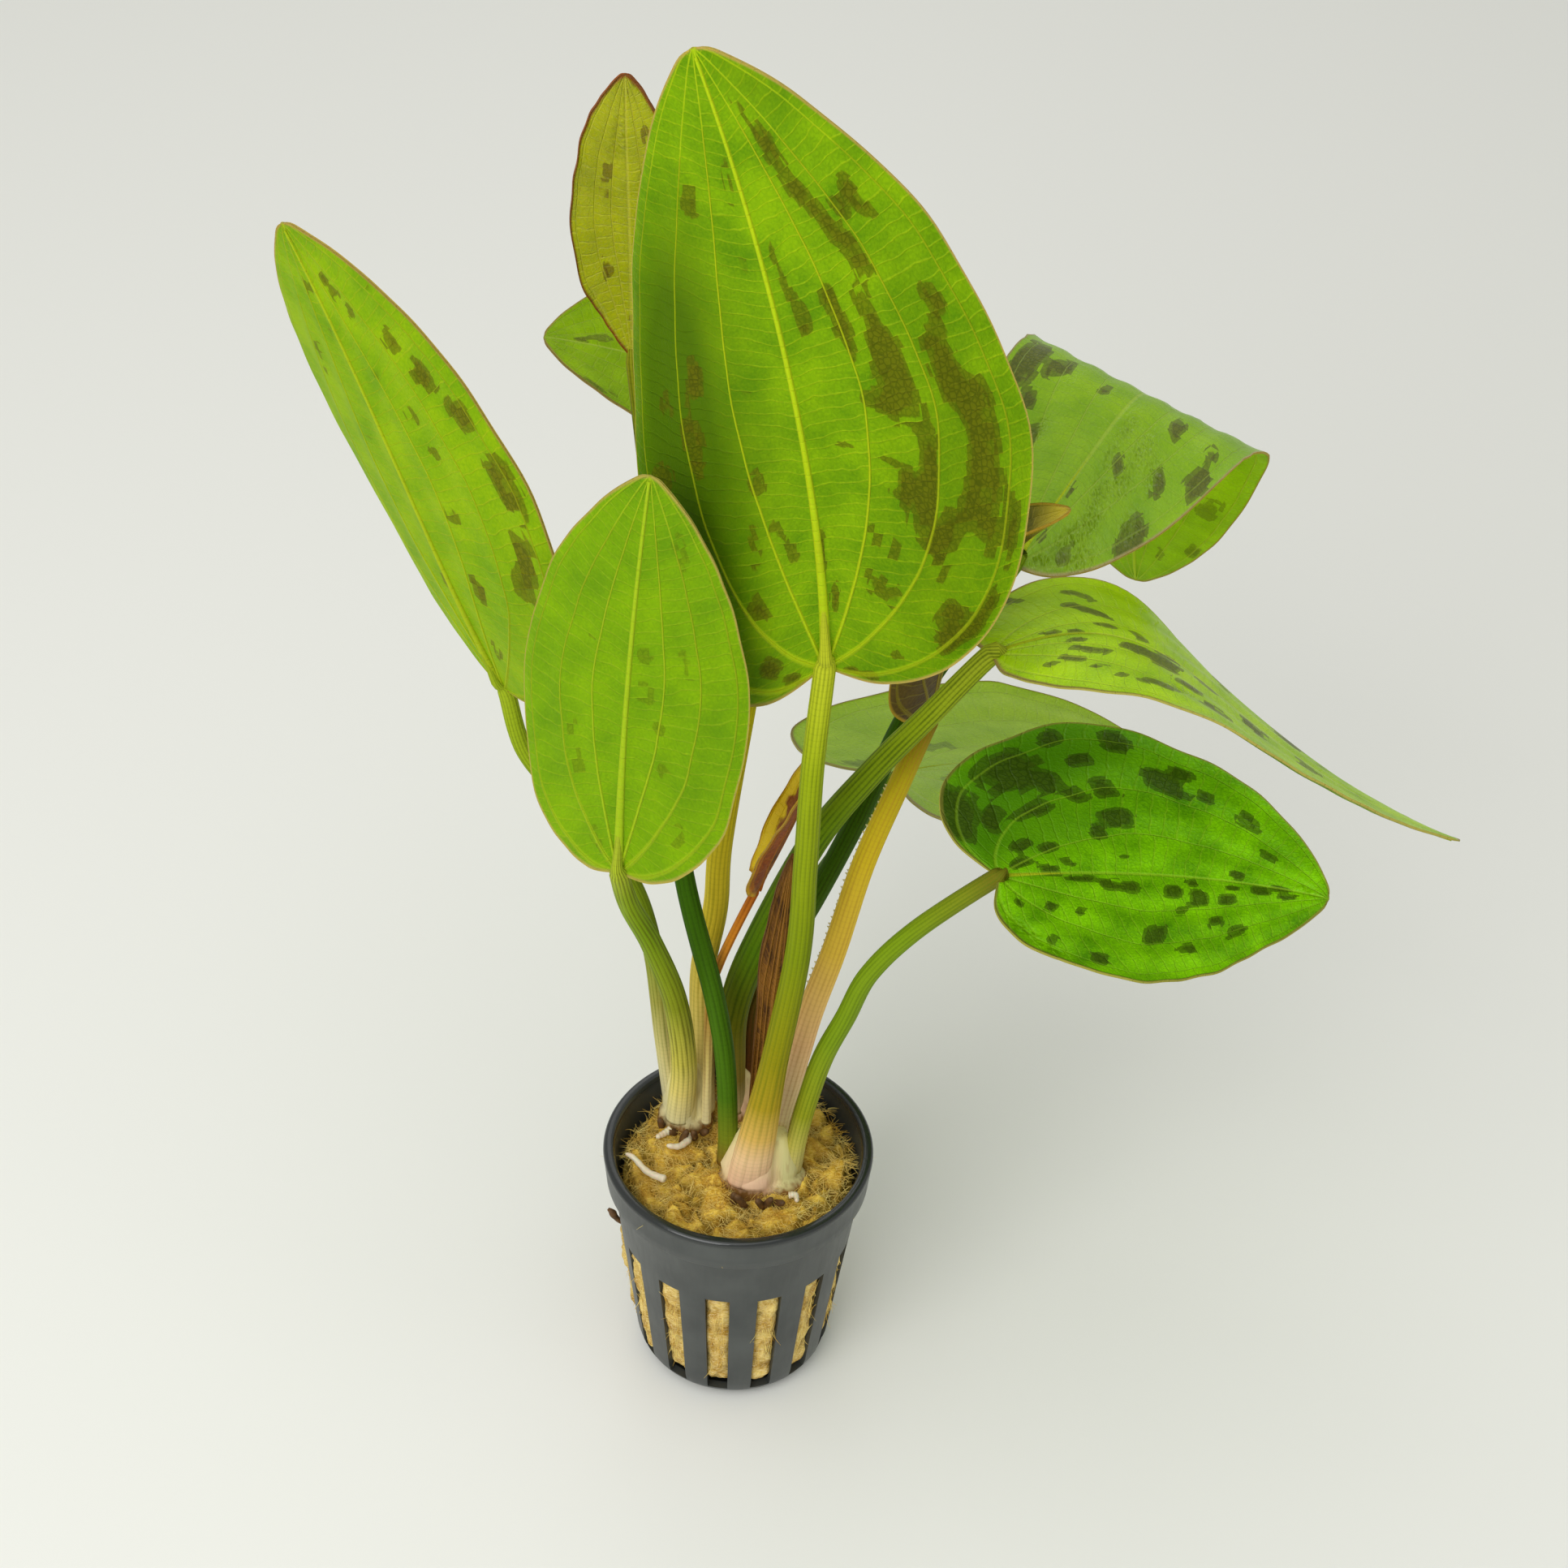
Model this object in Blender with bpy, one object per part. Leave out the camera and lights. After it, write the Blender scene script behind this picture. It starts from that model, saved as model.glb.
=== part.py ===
# Echinodorus, a broad-leaved water plant, in its slotted plastic nursery pot.
# The pot holds a plug of mineral wool. Three short rootstocks are set in the wool, and
# every leaf rises from one of them on its own stem. Thin roots lie on top of the wool.
# Lengths below are in millimetres, and a mesh turns them into metres as it is made.
# +Z is up, the front of the plant looks along -Y, and the origin is the middle of the
# pot's underside.
import math

import bmesh
import bpy
import numpy as np
from mathutils import Matrix, Vector

MM = 0.001
GAP = 0.35
JOINT_GAP = 1.0

# Pot
RIM_RADIUS = 25.0
POT_HEIGHT = 51.0
LIP_WIDTH = 2.1
LIP_ROUNDING = 0.7
COLLAR_HEIGHT = 7.5
COLLAR_STEP = 1.2
NECK_RADIUS = 23.2
WAIST_RADIUS = 18.8
WAIST_HEIGHT = 7.0
FOOT_RADIUS = 13.5
WALL = 1.1
FLOOR = 1.2
POT_SEGMENTS = 42
SLOTS = 14
SLOT_TURN = 6.0
SLOT_LOW = 3.0
SLOT_HIGH = 32.0
SLOT_WIDTH_LOW = 3.8
SLOT_WIDTH_HIGH = 4.6

# Wool and rootstocks
WOOL_LEVEL = 47.0
WOOL_SEGMENTS = 36
CROWN_TOP = 48.4
CROWN_DEPTH = 7.4
CROWN_SEGMENTS = 18

# Leaves and stems
BLADE_THICKNESS = 0.7
BLADE_ROWS = 10
BLADE_COLUMNS = 8
NARROW_BLADE_COLUMNS = 6
NARROW_BLADE = 30.0
RIB_STEPS = 40
VEIN_FAN = 1.6
STEM_SIDES = 8
STEM_RINGS = 11
ROOT_SIDES = 6

# Each leaf is placed by its joint with the stem. heading is its compass direction seen
# from above (0 is +X, 90 is +Y) and rise its slope at the joint. roll turns it about its
# midrib, right side down. arch bends it down towards its tip, in the near and the far half,
# sway bends it to the left, and twist turns it about the midrib along its length, all in
# degrees. cup is how far the left and right halves curl up. lobe, widest and shoulder give
# the outline as fractions of the length: how far the base reaches back past the joint,
# where the blade is widest, and how gently its base swells. right_lobe is for a blade whose
# right side reaches back further. fold is a bend at one place: its angle, where it is along
# the length, and how far it spreads. A blade is flat across where it folds.
LEAVES = {
    "tall": dict(
        joint=(11.0, -21.0, 178.0), length=101, width=65.5, heading=-102, rise=82, roll=17,
        arch=(-20, -2), sway=-24, twist=-27, cup=(20, 52), lobe=0.07, right_lobe=0.125,
        widest=0.33, shoulder=0.20),
    "front_left": dict(
        joint=(-20.2, -28.0, 140.5), length=73, width=38.5, heading=-105, rise=92, roll=-4,
        arch=(-4, -1), sway=4, twist=4, cup=(20, 25), lobe=0.03, widest=0.40, shoulder=0.33),
    "far_left": dict(
        joint=(-41.4, 6.3, 150.0), length=88.5, width=60, heading=202, rise=68, roll=16,
        arch=(-13, 3), sway=-24, twist=10, cup=(24, 21), lobe=0.0, widest=0.41, shoulder=0.30),
    "young": dict(
        joint=(-21.4, 22.0, 205.0), length=60, width=18, heading=82, rise=93, roll=-6,
        arch=(-15, -7), sway=-5, twist=12, cup=(27, 29), lobe=-0.05, widest=0.46, shoulder=0.46),
    "back_left": dict(
        joint=(6.0, 46.0, 181.8), length=45.8, width=44, heading=177, rise=20, roll=-8,
        arch=(0, 9), sway=10, twist=7, cup=(12, 30), lobe=0.05, widest=0.38, shoulder=0.12),
    "folded": dict(
        joint=(42.5, 30.0, 162.5), length=116, width=47, heading=59.5, rise=18, roll=19,
        arch=(-10, -16), sway=-7.5, twist=-22, cup=(19, 17), lobe=0.0, widest=0.44, shoulder=0.44,
        fold=(103.5, 0.40, 0.17), rows=14),
    "drooping": dict(
        joint=(37.9, 0.5, 165.8), length=88.5, width=48, heading=24, rise=11, roll=-7,
        arch=(10, -41), sway=-62, twist=-12.5, cup=(-21, 11), lobe=0.03, widest=0.45, shoulder=0.40,
        fold=(54.5, 0.25, 0.30)),
    "low_right": dict(
        joint=(40.0, -28.7, 143.8), length=56, width=55, heading=27, rise=-15, roll=7,
        arch=(-14, -7), sway=-41, twist=7, cup=(38, 17), lobe=0.12, widest=0.28, shoulder=0.23),
    "back_right": dict(
        joint=(27.2, 48.0, 102.0), length=72, width=63, heading=39, rise=-14, roll=-21,
        arch=(11.5, 2), sway=-25, twist=13, cup=(27, -32), lobe=0.14, widest=0.46, shoulder=0.06),
    "rolled": dict(
        joint=(29.8, 16.5, 139.5), length=51, width=24, heading=13, rise=85, roll=-20,
        arch=(8, 42), sway=0, twist=0, cup=(118, 118), lobe=0.0, widest=0.34, shoulder=0.22),
    "dead": dict(
        joint=(1.2, 4.5, 109.0), length=36, width=11, heading=-7, rise=68, roll=0,
        arch=(-4, -4), sway=6, twist=20, cup=(80, 80), lobe=0.0, widest=0.38, shoulder=0.20),
}

# A dead leaf sheath, dried on behind the tall leaf's stem, is shaped as a narrow blade.
SHEATH = dict(
    joint=(2.6, -3.1, 49.1), length=86, width=6.6, heading=-66, rise=82, roll=-24,
    arch=(0, 0), sway=0, twist=0, cup=(-15, -15), lobe=0.0, widest=0.62, shoulder=0.15)

# Each stem starts on a rootstock and ends at its leaf's joint. base is the width and
# thickness of the sheathing foot, facing its outer side's compass direction, and middle
# and top are diameters.
STEMS = {
    "tall": dict(
        base=(7.6, 4.8), facing=-90, middle=4.8, top=3.5,
        route=[(2.0, -7.0), (3.3, -8.0, 60), (5.9, -10.8, 83), (9.1, -15.0, 113),
               (9.6, -19.4, 138), (9.9, -22.8, 160)]),
    "front_left": dict(
        base=(5.2, 4.4), facing=-90, middle=4.6, top=3.2,
        route=[(-11.4, 8.5), (-10.6, 5.5, 66), (-12.2, -1.0, 88), (-16.0, -8.5, 108), (-19.2, -18.0, 125)]),
    "far_left": dict(
        base=(4.0, 3.6), facing=150, middle=3.8, top=3.0,
        route=[(-12.9, 13.3), (-14.6, 11.0, 68), (-16.5, 7.0, 92), (-20.5, 2.0, 113),
               (-30.0, 1.5, 129), (-38.2, 4.0, 139)]),
    "young": dict(
        base=(3.8, 3.4), facing=-120, middle=3.8, top=2.4,
        route=[(-2.1, -2.4), (-2.0, -1.8, 56), (-2.9, 0.0, 72), (-5.3, 1.5, 87), (-11.2, 6.0, 111),
               (-15.0, 12.0, 138), (-17.0, 17.0, 168)]),
    "back_left": dict(
        base=(4.8, 4.4), facing=-60, middle=4.6, top=3.0,
        route=[(-7.1, 11.3), (-7.6, 13.2, 66), (-7.8, 14.6, 81), (-5.8, 15.2, 96), (-5.2, 17.0, 110),
               (-1.9, 24.0, 134), (1.8, 34.0, 158)]),
    "folded": dict(
        base=(4.4, 4.0), facing=60, middle=4.2, top=3.2,
        route=[(1.2, 16.0), (1.0, 16.0, 60), (1.6, 16.2, 73), (6.1, 17.0, 84), (11.4, 17.5, 96),
               (19.1, 20.0, 115), (27.5, 24.5, 137)]),
    "drooping": dict(
        base=(5.2, 4.8), facing=-120, middle=5.8, top=3.6,
        route=[(-1.6, 12.0), (-2.0, 11.7, 60), (-1.9, 11.4, 74), (1.4, 10.8, 89), (10.7, 8.5, 117),
               (20.3, 4.8, 137), (29.4, 0.8, 153.5)]),
    "low_right": dict(
        base=(4.0, 3.6), facing=-30, middle=3.8, top=3.0,
        route=[(10.0, -3.4), (11.2, -4.9, 62), (14.2, -8.0, 81), (17.9, -12.0, 96), (21.3, -16.0, 110),
               (28.4, -21.0, 125)]),
    "back_right": dict(
        base=(3.6, 3.4), facing=110, middle=3.4, top=2.8,
        route=[(-2.6, 18.9), (-0.8, 20.0, 60), (2.0, 22.0, 67), (6.6, 26.5, 78), (12.2, 33.0, 87),
               (19.0, 40.5, 94)]),
    "rolled": dict(
        base=(4.2, 4.0), facing=0, middle=4.8, top=3.6,
        route=[(6.2, -0.6), (7.4, -0.6, 60), (8.9, 0.2, 68), (11.8, 2.6, 82), (15.7, 6.0, 95),
               (20.0, 10.0, 112), (25.1, 14.0, 126)]),
    "dead": dict(
        base=(1.8, 1.8), facing=0, middle=1.8, top=1.6,
        route=[(-6.3, 7.6), (-6.2, 7.2, 79), (-4.6, 6.6, 90)]),
}

# Rootstocks: centre and half sizes along X and Y
CROWNS = {
    "front": ((4.8, -4.2), (8.6, 5.4)),
    "left": ((-10.3, 10.9), (5.4, 5.0)),
    "back": ((0.2, 15.4), (5.2, 6.0)),
}

# Roots on the wool, from the rootstock outwards, with the diameter at the start
ROOTS = {
    "long": (1.5, [(-13.1, -7.0), (-16.5, -5.1), (-19.2, -2.6), (-20.8, -1.8)]),
    "left_outer": (1.5, [(-12.9, 5.6), (-13.8, 4.7), (-15.4, 3.2)]),
    "left_inner": (1.6, [(-9.5, 5.2), (-9.6, 3.8), (-11.1, 2.2), (-13.4, 1.8)]),
    "hook": (1.3, [(9.6, -10.0), (10.9, -9.9), (11.2, -11.6)]),
}

COLOURS = {
    "pot": ((0.055, 0.062, 0.068), 0.45),
    "wool": ((0.38, 0.27, 0.06), 0.95),
    "crown": ((0.36, 0.22, 0.09), 0.7),
    "leaf": ((0.10, 0.28, 0.015), 0.4),
    "young_leaf": ((0.25, 0.24, 0.02), 0.4),
    "stem": ((0.15, 0.22, 0.02), 0.45),
    "dead_leaf": ((0.20, 0.06, 0.01), 0.7),
    "root": ((0.75, 0.70, 0.55), 0.5),
}


def material(kind):
    """The Principled material of one kind of piece, made the first time that it is asked for."""
    found = bpy.data.materials.get(kind)
    if found:
        return found
    colour, roughness = COLOURS[kind]
    made = bpy.data.materials.new(kind)
    made.use_nodes = True
    shader = made.node_tree.nodes["Principled BSDF"]
    shader.inputs["Base Color"].default_value = (*colour, 1.0)
    shader.inputs["Roughness"].default_value = roughness
    shader.inputs["Metallic"].default_value = 0.0
    return made


def new_object(name, points, faces, kind, rounded=True):
    """A named object from points in millimetres, with its faces turned outwards."""
    mesh = bpy.data.meshes.new(name)
    mesh.from_pydata([tuple(float(c) * MM for c in p) for p in points], [], faces)
    work = bmesh.new()
    work.from_mesh(mesh)
    bmesh.ops.recalc_face_normals(work, faces=work.faces)
    work.to_mesh(mesh)
    work.free()
    if rounded:
        mesh.shade_smooth()
        mesh.set_sharp_from_angle(angle=math.radians(40))
    mesh.materials.append(material(kind))
    made = bpy.data.objects.new(name, mesh)
    bpy.context.scene.collection.objects.link(made)
    return made


def as_cutter(cutter, target):
    """Cuts one object out of another, and keeps the cutter as a hidden wire."""
    cutter.hide_render = True
    cutter.display_type = "WIRE"
    cutter.hide_set(True)
    cut = target.modifiers.new("cut_" + cutter.name, "BOOLEAN")
    cut.operation = "DIFFERENCE"
    cut.solver = "EXACT"
    cut.object = cutter


def stacked_rings(rings, start_point=None, end_point=None):
    """Points and faces of a closed skin over rings of points, ended by caps or by single points."""
    sides = len(rings[0])
    points = [p for ring in rings for p in ring]
    faces = []
    for row in range(len(rings) - 1):
        for side in range(sides):
            after = (side + 1) % sides
            low, high = row * sides, (row + 1) * sides
            faces.append((low + side, low + after, high + after, high + side))
    last = (len(rings) - 1) * sides
    if start_point is None:
        faces.append(tuple(range(sides)))
    else:
        points.append(start_point)
        faces += [(len(points) - 1, side, (side + 1) % sides) for side in range(sides)]
    if end_point is None:
        faces.append(tuple(last + side for side in range(sides)))
    else:
        points.append(end_point)
        faces += [(len(points) - 1, last + side, last + (side + 1) % sides) for side in range(sides)]
    return points, faces


def smooth_curve(points, count):
    """Points spaced evenly along a smooth curve through the given ones (Catmull-Rom)."""
    given = np.asarray(points, float)
    ends = np.vstack([2 * given[0] - given[1], given, 2 * given[-1] - given[-2]])
    fine = []
    for i in range(1, len(ends) - 2):
        a, b, c, d = ends[i - 1:i + 3]
        for t in np.linspace(0, 1, 30, endpoint=False):
            fine.append(0.5 * (2 * b + (c - a) * t + (2 * a - 5 * b + 4 * c - d) * t ** 2
                               + (3 * b - a - 3 * c + d) * t ** 3))
    fine = np.array(fine + [given[-1]])
    run = np.r_[0, np.cumsum(np.linalg.norm(np.diff(fine, axis=0), axis=1))]
    wanted = np.linspace(0, run[-1], count)
    return np.stack([np.interp(wanted, run, fine[:, k]) for k in range(given.shape[1])], axis=1)


# Pot
def inner_radius(height):
    """The pot's inside radius at a height above the rounded foot."""
    slope = (NECK_RADIUS - WAIST_RADIUS) / (POT_HEIGHT - COLLAR_HEIGHT - WAIST_HEIGHT)
    return WAIST_RADIUS - WALL + slope * (height - WAIST_HEIGHT)


def make_pot():
    """A turned cup with a stepped collar and a row of slots cut through its wall."""
    collar = POT_HEIGHT - COLLAR_HEIGHT
    lip_inside = RIM_RADIUS - LIP_WIDTH
    profile = [
        (FOOT_RADIUS, 0.0), (FOOT_RADIUS + 2.9, 0.9), (WAIST_RADIUS - 0.8, 3.2), (WAIST_RADIUS, WAIST_HEIGHT),
        (NECK_RADIUS, collar - 0.4), (NECK_RADIUS + COLLAR_STEP, collar + 0.5),
        (RIM_RADIUS, POT_HEIGHT - LIP_ROUNDING), (RIM_RADIUS - LIP_ROUNDING, POT_HEIGHT),
        (lip_inside + LIP_ROUNDING, POT_HEIGHT), (lip_inside, POT_HEIGHT - LIP_ROUNDING),
        (inner_radius(collar), collar), (inner_radius(WAIST_HEIGHT), WAIST_HEIGHT),
        (WAIST_RADIUS - 2.4, 3.0), (FOOT_RADIUS - 0.3, FLOOR)]
    rings = [[(r * math.cos(a), r * math.sin(a), z) for a in turn_angles(POT_SEGMENTS)] for r, z in profile]
    pot = new_object("pot", *stacked_rings(rings, (0, 0, 0), (0, 0, FLOOR)), "pot")
    as_cutter(make_slots(), pot)


def turn_angles(count):
    """Even angles round a full turn."""
    return [2 * math.pi * k / count for k in range(count)]


def make_slots():
    """One cutter for all slots: tapered blocks that stand round the wall."""
    points = []
    faces = []
    for slot in range(SLOTS):
        facing = math.radians(SLOT_TURN - 90) + 2 * math.pi * (slot + 0.5) / SLOTS
        out = Vector((math.cos(facing), math.sin(facing), 0))
        across = Vector((-out.y, out.x, 0))
        first = len(points)
        for z, width in ((SLOT_LOW, SLOT_WIDTH_LOW), (SLOT_HIGH, SLOT_WIDTH_HIGH)):
            for reach, side in ((13, -1), (30, -1), (30, 1), (13, 1)):
                points.append(out * reach + across * side * width / 2 + Vector((0, 0, z)))
        for face in ((0, 1, 2, 3), (4, 5, 6, 7), (0, 1, 5, 4), (1, 2, 6, 5), (2, 3, 7, 6), (3, 0, 4, 7)):
            faces.append(tuple(first + k for k in face))
    return new_object("slot_cutter", points, faces, "pot", rounded=False)


# Wool
def wool_height(x, y):
    """The top of the wool: soft lumps, low at the side walls, and a tuft at the back rim."""
    lumps = 0.7 * math.sin(x / 4.1 + 0.8) * math.cos(y / 4.6 - 0.3) + 0.4 * math.sin(x / 3.0 - y / 3.4 + 1.7)
    tuft = 4.5 * math.exp(-((x - 7.5) ** 2 + (y - 19.0) ** 2) / 7.0)
    return WOOL_LEVEL + lumps + tuft


def make_wool():
    """A plug that fills the pot with a small gap to its wall, with pockets for the rootstocks."""
    collar = POT_HEIGHT - COLLAR_HEIGHT
    side = [
        (FOOT_RADIUS - 1.2, FLOOR + 0.5), (WAIST_RADIUS - 3.0, 3.6), (inner_radius(WAIST_HEIGHT) - 0.5, WAIST_HEIGHT),
        (inner_radius(collar) - 0.6, collar - 0.5)]
    rings = [[(r * math.cos(a), r * math.sin(a), z) for a in turn_angles(WOOL_SEGMENTS)] for r, z in side]
    for radius, drop in ((21.8, 1.6), (20.6, 0.2), (17.8, 0), (14.6, 0), (11.2, 0), (7.6, 0), (4.0, 0)):
        ring = []
        for a in turn_angles(WOOL_SEGMENTS):
            pulled = radius - 0.25 * (radius / 21.8) ** 6 * (1 + math.cos(2 * a - 0.3))
            x, y = pulled * math.cos(a), pulled * math.sin(a)
            ring.append((x, y, wool_height(x, y) - drop))
        rings.append(ring)
    wool = new_object("wool", *stacked_rings(rings, (0, 0, FLOOR + 0.5), (0, 0, wool_height(0, 0))), "wool")
    for name, (centre, half) in CROWNS.items():
        pocket = crown_rings(centre, half, GAP)
        pocket += [[(x, y, CROWN_TOP + 12) for x, y, z in pocket[-2]]]
        del pocket[-2]
        as_cutter(new_object("pocket_" + name, *stacked_rings(pocket), "wool", rounded=False), wool)


# Rootstocks
def crown_rings(centre, half, grow):
    """Rings of a squat rootstock, rounded below and cut flat on top."""
    outline = ((0.55, 0.0), (0.88, 0.24), (1.0, 0.62), (0.97, 0.9), (0.90, 1.0))
    rings = []
    for share, level in outline:
        z = CROWN_TOP - CROWN_DEPTH * (1 - level) - grow * (1 - level)
        ring = []
        for a in turn_angles(CROWN_SEGMENTS):
            rough = 1 + 0.025 * math.sin(3 * a + half[0])
            ring.append((centre[0] + (half[0] * share * rough + grow) * math.cos(a),
                         centre[1] + (half[1] * share * rough + grow) * math.sin(a), z))
        rings.append(ring)
    return rings


def make_crowns():
    """The three rootstocks that the stems stand on."""
    for name, (centre, half) in CROWNS.items():
        new_object("crown_" + name, *stacked_rings(crown_rings(centre, half, 0.0)), "crown")


# Leaves
def margin(leaf, count, right=False):
    """Half of a blade's outline from joint to tip, as shares of its half width and length."""
    lobe, wide, shoulder = leaf["lobe"], leaf["widest"], leaf["shoulder"]
    if right:
        lobe = leaf.get("right_lobe", lobe)
    rest = 1 - wide
    return smooth_curve([
        (0, 0), (0.30, 0.05 * shoulder - 0.8 * lobe), (0.62, 0.22 * shoulder - lobe),
        (0.88, 0.52 * shoulder - 0.25 * lobe), (1.0, wide), (0.95, wide + 0.25 * rest),
        (0.74, wide + 0.58 * rest), (0.40, wide + 0.84 * rest), (0.12, wide + 0.975 * rest), (0, 1)], count)


def bend_share(leaf, f):
    """How strongly a blade bends at a place along it where it is folded over, from 0 to 1."""
    fold, place, reach = leaf.get("fold", (0, 0.5, 0.2))
    away = (f - place) / reach
    return 0.5 * (1 + math.cos(math.pi * away)) if fold and abs(away) < 1 else 0.0


def midrib(leaf):
    """Points along a midrib, and the directions along it and out of the upper face."""
    heading, rise = math.radians(leaf["heading"]), math.radians(leaf["rise"])
    along = Vector((math.cos(heading) * math.cos(rise), math.sin(heading) * math.cos(rise), math.sin(rise)))
    face = Vector((-math.cos(heading) * math.sin(rise), -math.sin(heading) * math.sin(rise), math.cos(rise)))
    face = Matrix.Rotation(math.radians(leaf["roll"]), 3, along) @ face
    point = Vector(leaf["joint"])
    near, far = leaf["arch"]
    frames = [(point.copy(), along, face)]
    for step in range(RIB_STEPS):
        f = (step + 0.5) / RIB_STEPS
        bend = (2 * near * (1 - f) + 2 * far * f) / RIB_STEPS
        if "fold" in leaf:
            bend += leaf["fold"][0] * bend_share(leaf, f) / (leaf["fold"][2] * RIB_STEPS)
        turn = (Matrix.Rotation(-math.radians(bend), 3, along.cross(face))
                @ Matrix.Rotation(math.radians(leaf["sway"] / RIB_STEPS), 3, face)
                @ Matrix.Rotation(math.radians(leaf["twist"] / RIB_STEPS), 3, along))
        turned = (turn @ along).normalized()
        point = point + (along + turned) * (0.5 * leaf["length"] / RIB_STEPS)
        along, face = turned, (turn @ face).normalized()
        frames.append((point.copy(), along, face))
    return frames


def blade_points(leaf, rows, columns):
    """Rows of points on a blade's middle surface, with the direction out of its upper face.

    A row runs from the left margin to the right one, and each column follows a vein from
    the joint to the tip.
    """
    frames = midrib(leaf)
    places = np.array([tuple(f[0]) for f in frames])
    alongs = np.array([tuple(f[1]) for f in frames])
    faces = np.array([tuple(f[2]) for f in frames])
    edges = margin(leaf, rows + 1), margin(leaf, rows + 1, right=True)
    half, length = leaf["width"] / 2, leaf["length"]
    points = np.zeros((rows + 1, columns + 1, 3))
    normals = np.zeros_like(points)
    for i in range(rows + 1):
        for j in range(columns + 1):
            v = 2 * j / columns - 1
            edge = edges[1 if v > 0 else 0]
            out = abs(v) * edge[i, 0] * half
            blend = abs(v) ** VEIN_FAN
            down = ((1 - blend) * i / rows + blend * edge[i, 1]) * length
            k = min(max(down / length, 0), 1) * RIB_STEPS
            place, along, face = (
                np.array([np.interp(k, range(RIB_STEPS + 1), rail[:, c]) for c in range(3)])
                for rail in (places, alongs, faces))
            side = np.cross(along, face) * (1 if v > 0 else -1)
            curl = math.radians(leaf["cup"][1 if v > 0 else 0]) / half
            curl *= 1 - bend_share(leaf, k / RIB_STEPS)
            curl = curl if abs(curl) > 1e-6 else 1e-6
            across, up = math.sin(curl * out) / curl, (1 - math.cos(curl * out)) / curl
            points[i, j] = place + along * min(down, 0) + side * across + face * up
            normals[i, j] = face * math.cos(curl * out) - side * math.sin(curl * out)
    return points, normals


def make_blade(name, leaf, kind):
    """A thin closed solid: the upper and lower skins of a blade, joined round the margin."""
    rows = leaf.get("rows", BLADE_ROWS)
    columns = NARROW_BLADE_COLUMNS if leaf["width"] < NARROW_BLADE else BLADE_COLUMNS
    points, normals = blade_points(leaf, rows, columns)
    corners = []
    index = {}
    for skin, offset in ((0, BLADE_THICKNESS / 2), (1, -BLADE_THICKNESS / 2)):
        for i in range(rows + 1):
            ends = i in (0, rows)
            for j in range(columns + 1):
                if ends and j > 0:
                    index[skin, i, j] = index[skin, i, 0]
                    continue
                source = columns // 2 if ends else j
                index[skin, i, j] = len(corners)
                corners.append(points[i, source] + normals[i, source] * offset)
    faces = []
    for i in range(rows):
        for j in range(columns):
            for skin in (0, 1):
                loop = [index[skin, i, j], index[skin, i + 1, j], index[skin, i + 1, j + 1], index[skin, i, j + 1]]
                faces.append(tuple(dict.fromkeys(loop)))
        for j in (0, columns):
            faces.append((index[0, i, j], index[0, i + 1, j], index[1, i + 1, j], index[1, i, j]))
    new_object(name, corners, faces, kind)


# Stems
def make_stem(name, stem, joint, kind):
    """A tapering stalk: a flattened foot on the rootstock, a round middle and a pointed top."""
    foot = (*stem["route"][0], CROWN_TOP + GAP)
    curve = smooth_curve([foot, *stem["route"][1:], joint], 120)
    run = np.r_[0, np.cumsum(np.linalg.norm(np.diff(curve, axis=0), axis=1))]
    total = run[-1] - JOINT_GAP
    stations = list(np.linspace(0, total - stem["top"], STEM_RINGS)) + [total - 0.4 * stem["top"], total]
    facing = math.radians(stem["facing"])
    outward = Vector((math.cos(facing), math.sin(facing), 0))
    rings = []
    for k, station in enumerate(stations):
        centre = Vector([np.interp(station, run, curve[:, c]) for c in range(3)])
        ahead = Vector([np.interp(station + 1, run, curve[:, c]) for c in range(3)])
        behind = Vector([np.interp(station - 1, run, curve[:, c]) for c in range(3)])
        share = station / total
        upright = max(0.0, 1 - share * 8)
        axis = ((ahead - behind).normalized() * (1 - upright) + Vector((0, 0, 1)) * upright).normalized()
        across = axis.cross(outward).normalized()
        out = across.cross(axis)
        swell = min(share / 0.3, 1)
        swell = swell * swell * (3 - 2 * swell)
        slim = max(0.0, (share - 0.3) / 0.7)
        round_size = stem["middle"] + (stem["top"] - stem["middle"]) * slim
        wide = stem["base"][0] * (1 - swell) + round_size * swell
        thick = stem["base"][1] * (1 - swell) + round_size * swell
        if k == len(stations) - 1:
            wide = thick = stem["top"] * 0.25
        ring = []
        for a in turn_angles(STEM_SIDES):
            ring.append(centre + across * (wide / 2 * math.sin(a)) + out * (thick / 2 * math.cos(a)))
        rings.append(ring)
    new_object(name, *stacked_rings(rings), kind)


# Roots
def make_root(name, diameter, route):
    """A thin root that lies along the wool and narrows to a blunt tip."""
    lifted = [(x, y, wool_height(x, y) + diameter / 2 + GAP + 0.15) for x, y in route]
    curve = smooth_curve(lifted, 7)
    rings = []
    for k, centre in enumerate(curve):
        ahead = Vector(curve[min(k + 1, len(curve) - 1)]) - Vector(curve[max(k - 1, 0)])
        across = ahead.cross(Vector((0, 0, 1))).normalized()
        up = across.cross(ahead).normalized()
        radius = diameter / 2 * (1 - 0.35 * k / (len(curve) - 1))
        if k in (0, len(curve) - 1):
            radius *= 0.6
        ring = []
        for a in turn_angles(ROOT_SIDES):
            ring.append(Vector(centre) + across * (radius * math.cos(a)) + up * (radius * math.sin(a)))
        rings.append(ring)
    new_object(name, *stacked_rings(rings), "root")


for old in list(bpy.data.objects):
    bpy.data.objects.remove(old)

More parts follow.
